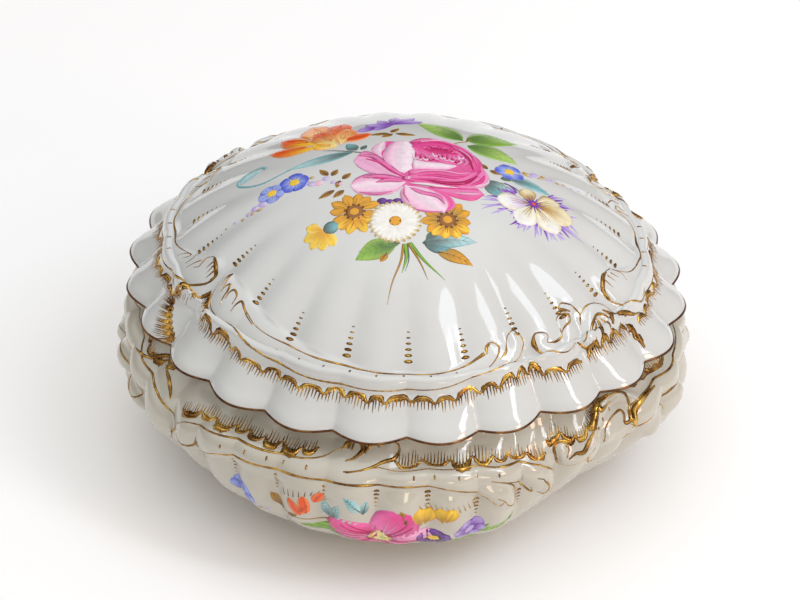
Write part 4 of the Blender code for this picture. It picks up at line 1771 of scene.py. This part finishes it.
def make_camera():
    azimuth, elevation, roll = (math.radians(v) for v in (VIEW_AZIMUTH, VIEW_ELEVATION, VIEW_ROLL))
    forward = np.array(
        (
            math.sin(azimuth) * math.cos(elevation), math.cos(azimuth) * math.cos(elevation),
            -math.sin(elevation)
        )
    )
    right = np.array((math.cos(azimuth), -math.sin(azimuth), 0.0))
    up = np.cross(right, forward)
    tilted_right = math.cos(roll) * right + math.sin(roll) * up
    tilted_up = math.cos(roll) * up - math.sin(roll) * right
    camera = bpy.data.objects.new("camera", bpy.data.cameras.new("camera"))
    camera.data.lens = LENS
    camera.data.shift_x, camera.data.shift_y = SHIFT
    place = VIEW_TARGET - forward * VIEW_DISTANCE
    rows = [[tilted_right[i], tilted_up[i], -forward[i], place[i]] for i in range(3)] + [[0, 0, 0, 1]]
    camera.matrix_world = Matrix(rows)
    bpy.context.scene.collection.objects.link(camera)
    bpy.context.scene.camera = camera


def area_light(name, place, aim, size, power, colour):
    """A rectangular light at place that faces aim."""
    light = bpy.data.lights.new(name, "AREA")
    light.shape = "RECTANGLE"
    light.size, light.size_y = size
    light.energy = power
    light.color = colour
    lamp = bpy.data.objects.new(name, light)
    lamp.location = place
    direction = np.array(aim) - np.array(place)
    lamp.rotation_euler = Vector(direction).to_track_quat("-Z", "Y").to_euler()
    bpy.context.scene.collection.objects.link(lamp)


def make_studio():
    area_light("cool_window", (0.62, -0.02, 0.92), (0, 0, 0.06), (0.35, 0.45), 1.8, (0.80, 0.90, 1.0))
    area_light("second_window", (0.88, -0.16, 0.78), (0, 0, 0.06), (0.14, 0.45), 1.5, (0.92, 0.95, 1.0))
    area_light("warm_side", (1.0, -0.32, 0.42), (0, 0, 0.05), (0.22, 0.22), 1.7, (1.0, 0.62, 0.42))
    area_light("low_window", (0.62, -0.95, 0.20), (0, 0, 0.04), (0.22, 0.22), 0.9, (1.0, 0.84, 0.56))
    world = bpy.data.worlds.new("studio")
    bpy.context.scene.world = world
    world.use_nodes = True
    tree = world.node_tree
    where = tree.nodes.new("ShaderNodeTexCoord")
    split = tree.nodes.new("ShaderNodeSeparateXYZ")
    tree.links.new(where.outputs["Generated"], split.inputs["Vector"])
    left = ramp(
        tree,
        split.outputs["Z"],
        (
            (0.0, (0.03, 0.015, 0.006)), (0.34, (0.05, 0.03, 0.016)), (0.58, (0.56, 0.54, 0.52)),
            (0.95, (1.0, 1.0, 1.0))
        ),
    )
    right = ramp(
        tree,
        split.outputs["Z"],
        (
            (0.0, (0.16, 0.13, 0.11)), (0.30, (0.30, 0.27, 0.25)), (0.62, (0.34, 0.35, 0.36)),
            (0.95, (0.95, 0.95, 0.95))
        ),
    )
    side = tree.nodes.new("ShaderNodeMapRange")
    side.inputs["From Min"].default_value = -0.5
    side.inputs["From Max"].default_value = 0.4
    tree.links.new(split.outputs["X"], side.inputs["Value"])
    mix = tree.nodes.new("ShaderNodeMix")
    mix.data_type = "RGBA"
    tree.links.new(side.outputs["Result"], mix.inputs["Factor"])
    tree.links.new(left, mix.inputs["A"])
    tree.links.new(right, mix.inputs["B"])
    tree.links.new(mix.outputs["Result"], tree.nodes["Background"].inputs["Color"])
    tree.nodes["Background"].inputs["Strength"].default_value = WORLD_STRENGTH
    bpy.context.scene.view_settings.view_transform = "Standard"


def make_floor():
    mesh = bpy.data.meshes.new("floor")
    side = 3.0
    mesh.from_pydata(
        [(-side, -side, 0), (side, -side, 0), (side, side, 0), (-side, side, 0)], [], [(0, 1, 2, 3)]
    )
    material, tree, shader = node_material("floor", (0.98, 0.98, 0.98), 0.9)
    mesh.materials.append(material)
    floor = bpy.data.objects.new("floor", mesh)
    floor.location.z = -FLOOR_GAP
    bpy.context.scene.collection.objects.link(floor)


# ---------------------------------------------------------------- assembly
# Each glaze's two shades, in linear RGB. The base's glaze is the lid's made darker and warmer: painted
# shade.
LID_GLAZE = ((0.635, 0.65, 0.64), (0.60, 0.61, 0.60))
BASE_GLAZE_PAINTED_SHADE = ((0.56, 0.54, 0.47), (0.51, 0.48, 0.41))
# The stops of each gold's ramp: its place and linear RGB. Their brown is painted dark reflection.
FIRED_GOLD_PAINTED_REFLECTION = ((0.32, (0.17, 0.08, 0.028)), (0.49, (0.38, 0.20, 0.048)), (0.70, (0.80, 0.51, 0.12)))
# The rim line's gold, darker still: painted dark reflection.
RIM_GOLD_PAINTED_REFLECTION = ((0.35, (0.07, 0.03, 0.018)), (0.55, (0.15, 0.07, 0.03)), (0.75, (0.36, 0.19, 0.06)))


def main():
    glaze_lid = glaze_material("lid_glaze", *LID_GLAZE)
    # The base's glaze is darker and warmer than the lid's: painted shade.
    glaze_base_painted_shade = glaze_material("base_glaze_painted_shade", *BASE_GLAZE_PAINTED_SHADE)
    biscuit = biscuit_material()
    # The gold's brown is painted dark reflection.
    gold = gold_material("fired_gold_painted_reflection", FIRED_GOLD_PAINTED_REFLECTION)
    # The rim line's darker gold is painted dark reflection.
    rim_gold_dark_reflection = gold_material("rim_gold_painted_reflection", RIM_GOLD_PAINTED_REFLECTION)
    enamel = enamel_material()
    for piece, body, slot in (
        (build_lid(glaze_lid, biscuit), "lid_body", "lid_porcelain"),
        (build_base(glaze_base_painted_shade, biscuit), "base_body", "base_porcelain"),
        (gild_lid(gold), "lid_body", "lid_porcelain"),
        (gild_rim(rim_gold_dark_reflection), "lid_body", "lid_porcelain"),
        (gild_base(gold), "base_body", "base_porcelain"),
        (painted("lid_leaves", enamel, (paint_lid_leaves, lid_place)), "lid_body", "lid_porcelain"),
        (painted("lid_blooms", enamel, (paint_lid_blooms, lid_place)), "lid_body", "lid_porcelain"),
        (painted("lid_rose", enamel, (paint_rose, lid_place)), "lid_body", "lid_porcelain"),
        (
            painted("front_spray", enamel, (paint_spray, belly_place(283, 31))), "base_body",
            "base_porcelain"
        ),
        (
            painted("back_spray", enamel, (paint_spray, belly_place(103, 31))), "base_body",
            "base_porcelain"
        ),
    ):
        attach(piece, body)
    make_camera()
    make_studio()
    make_floor()


main()
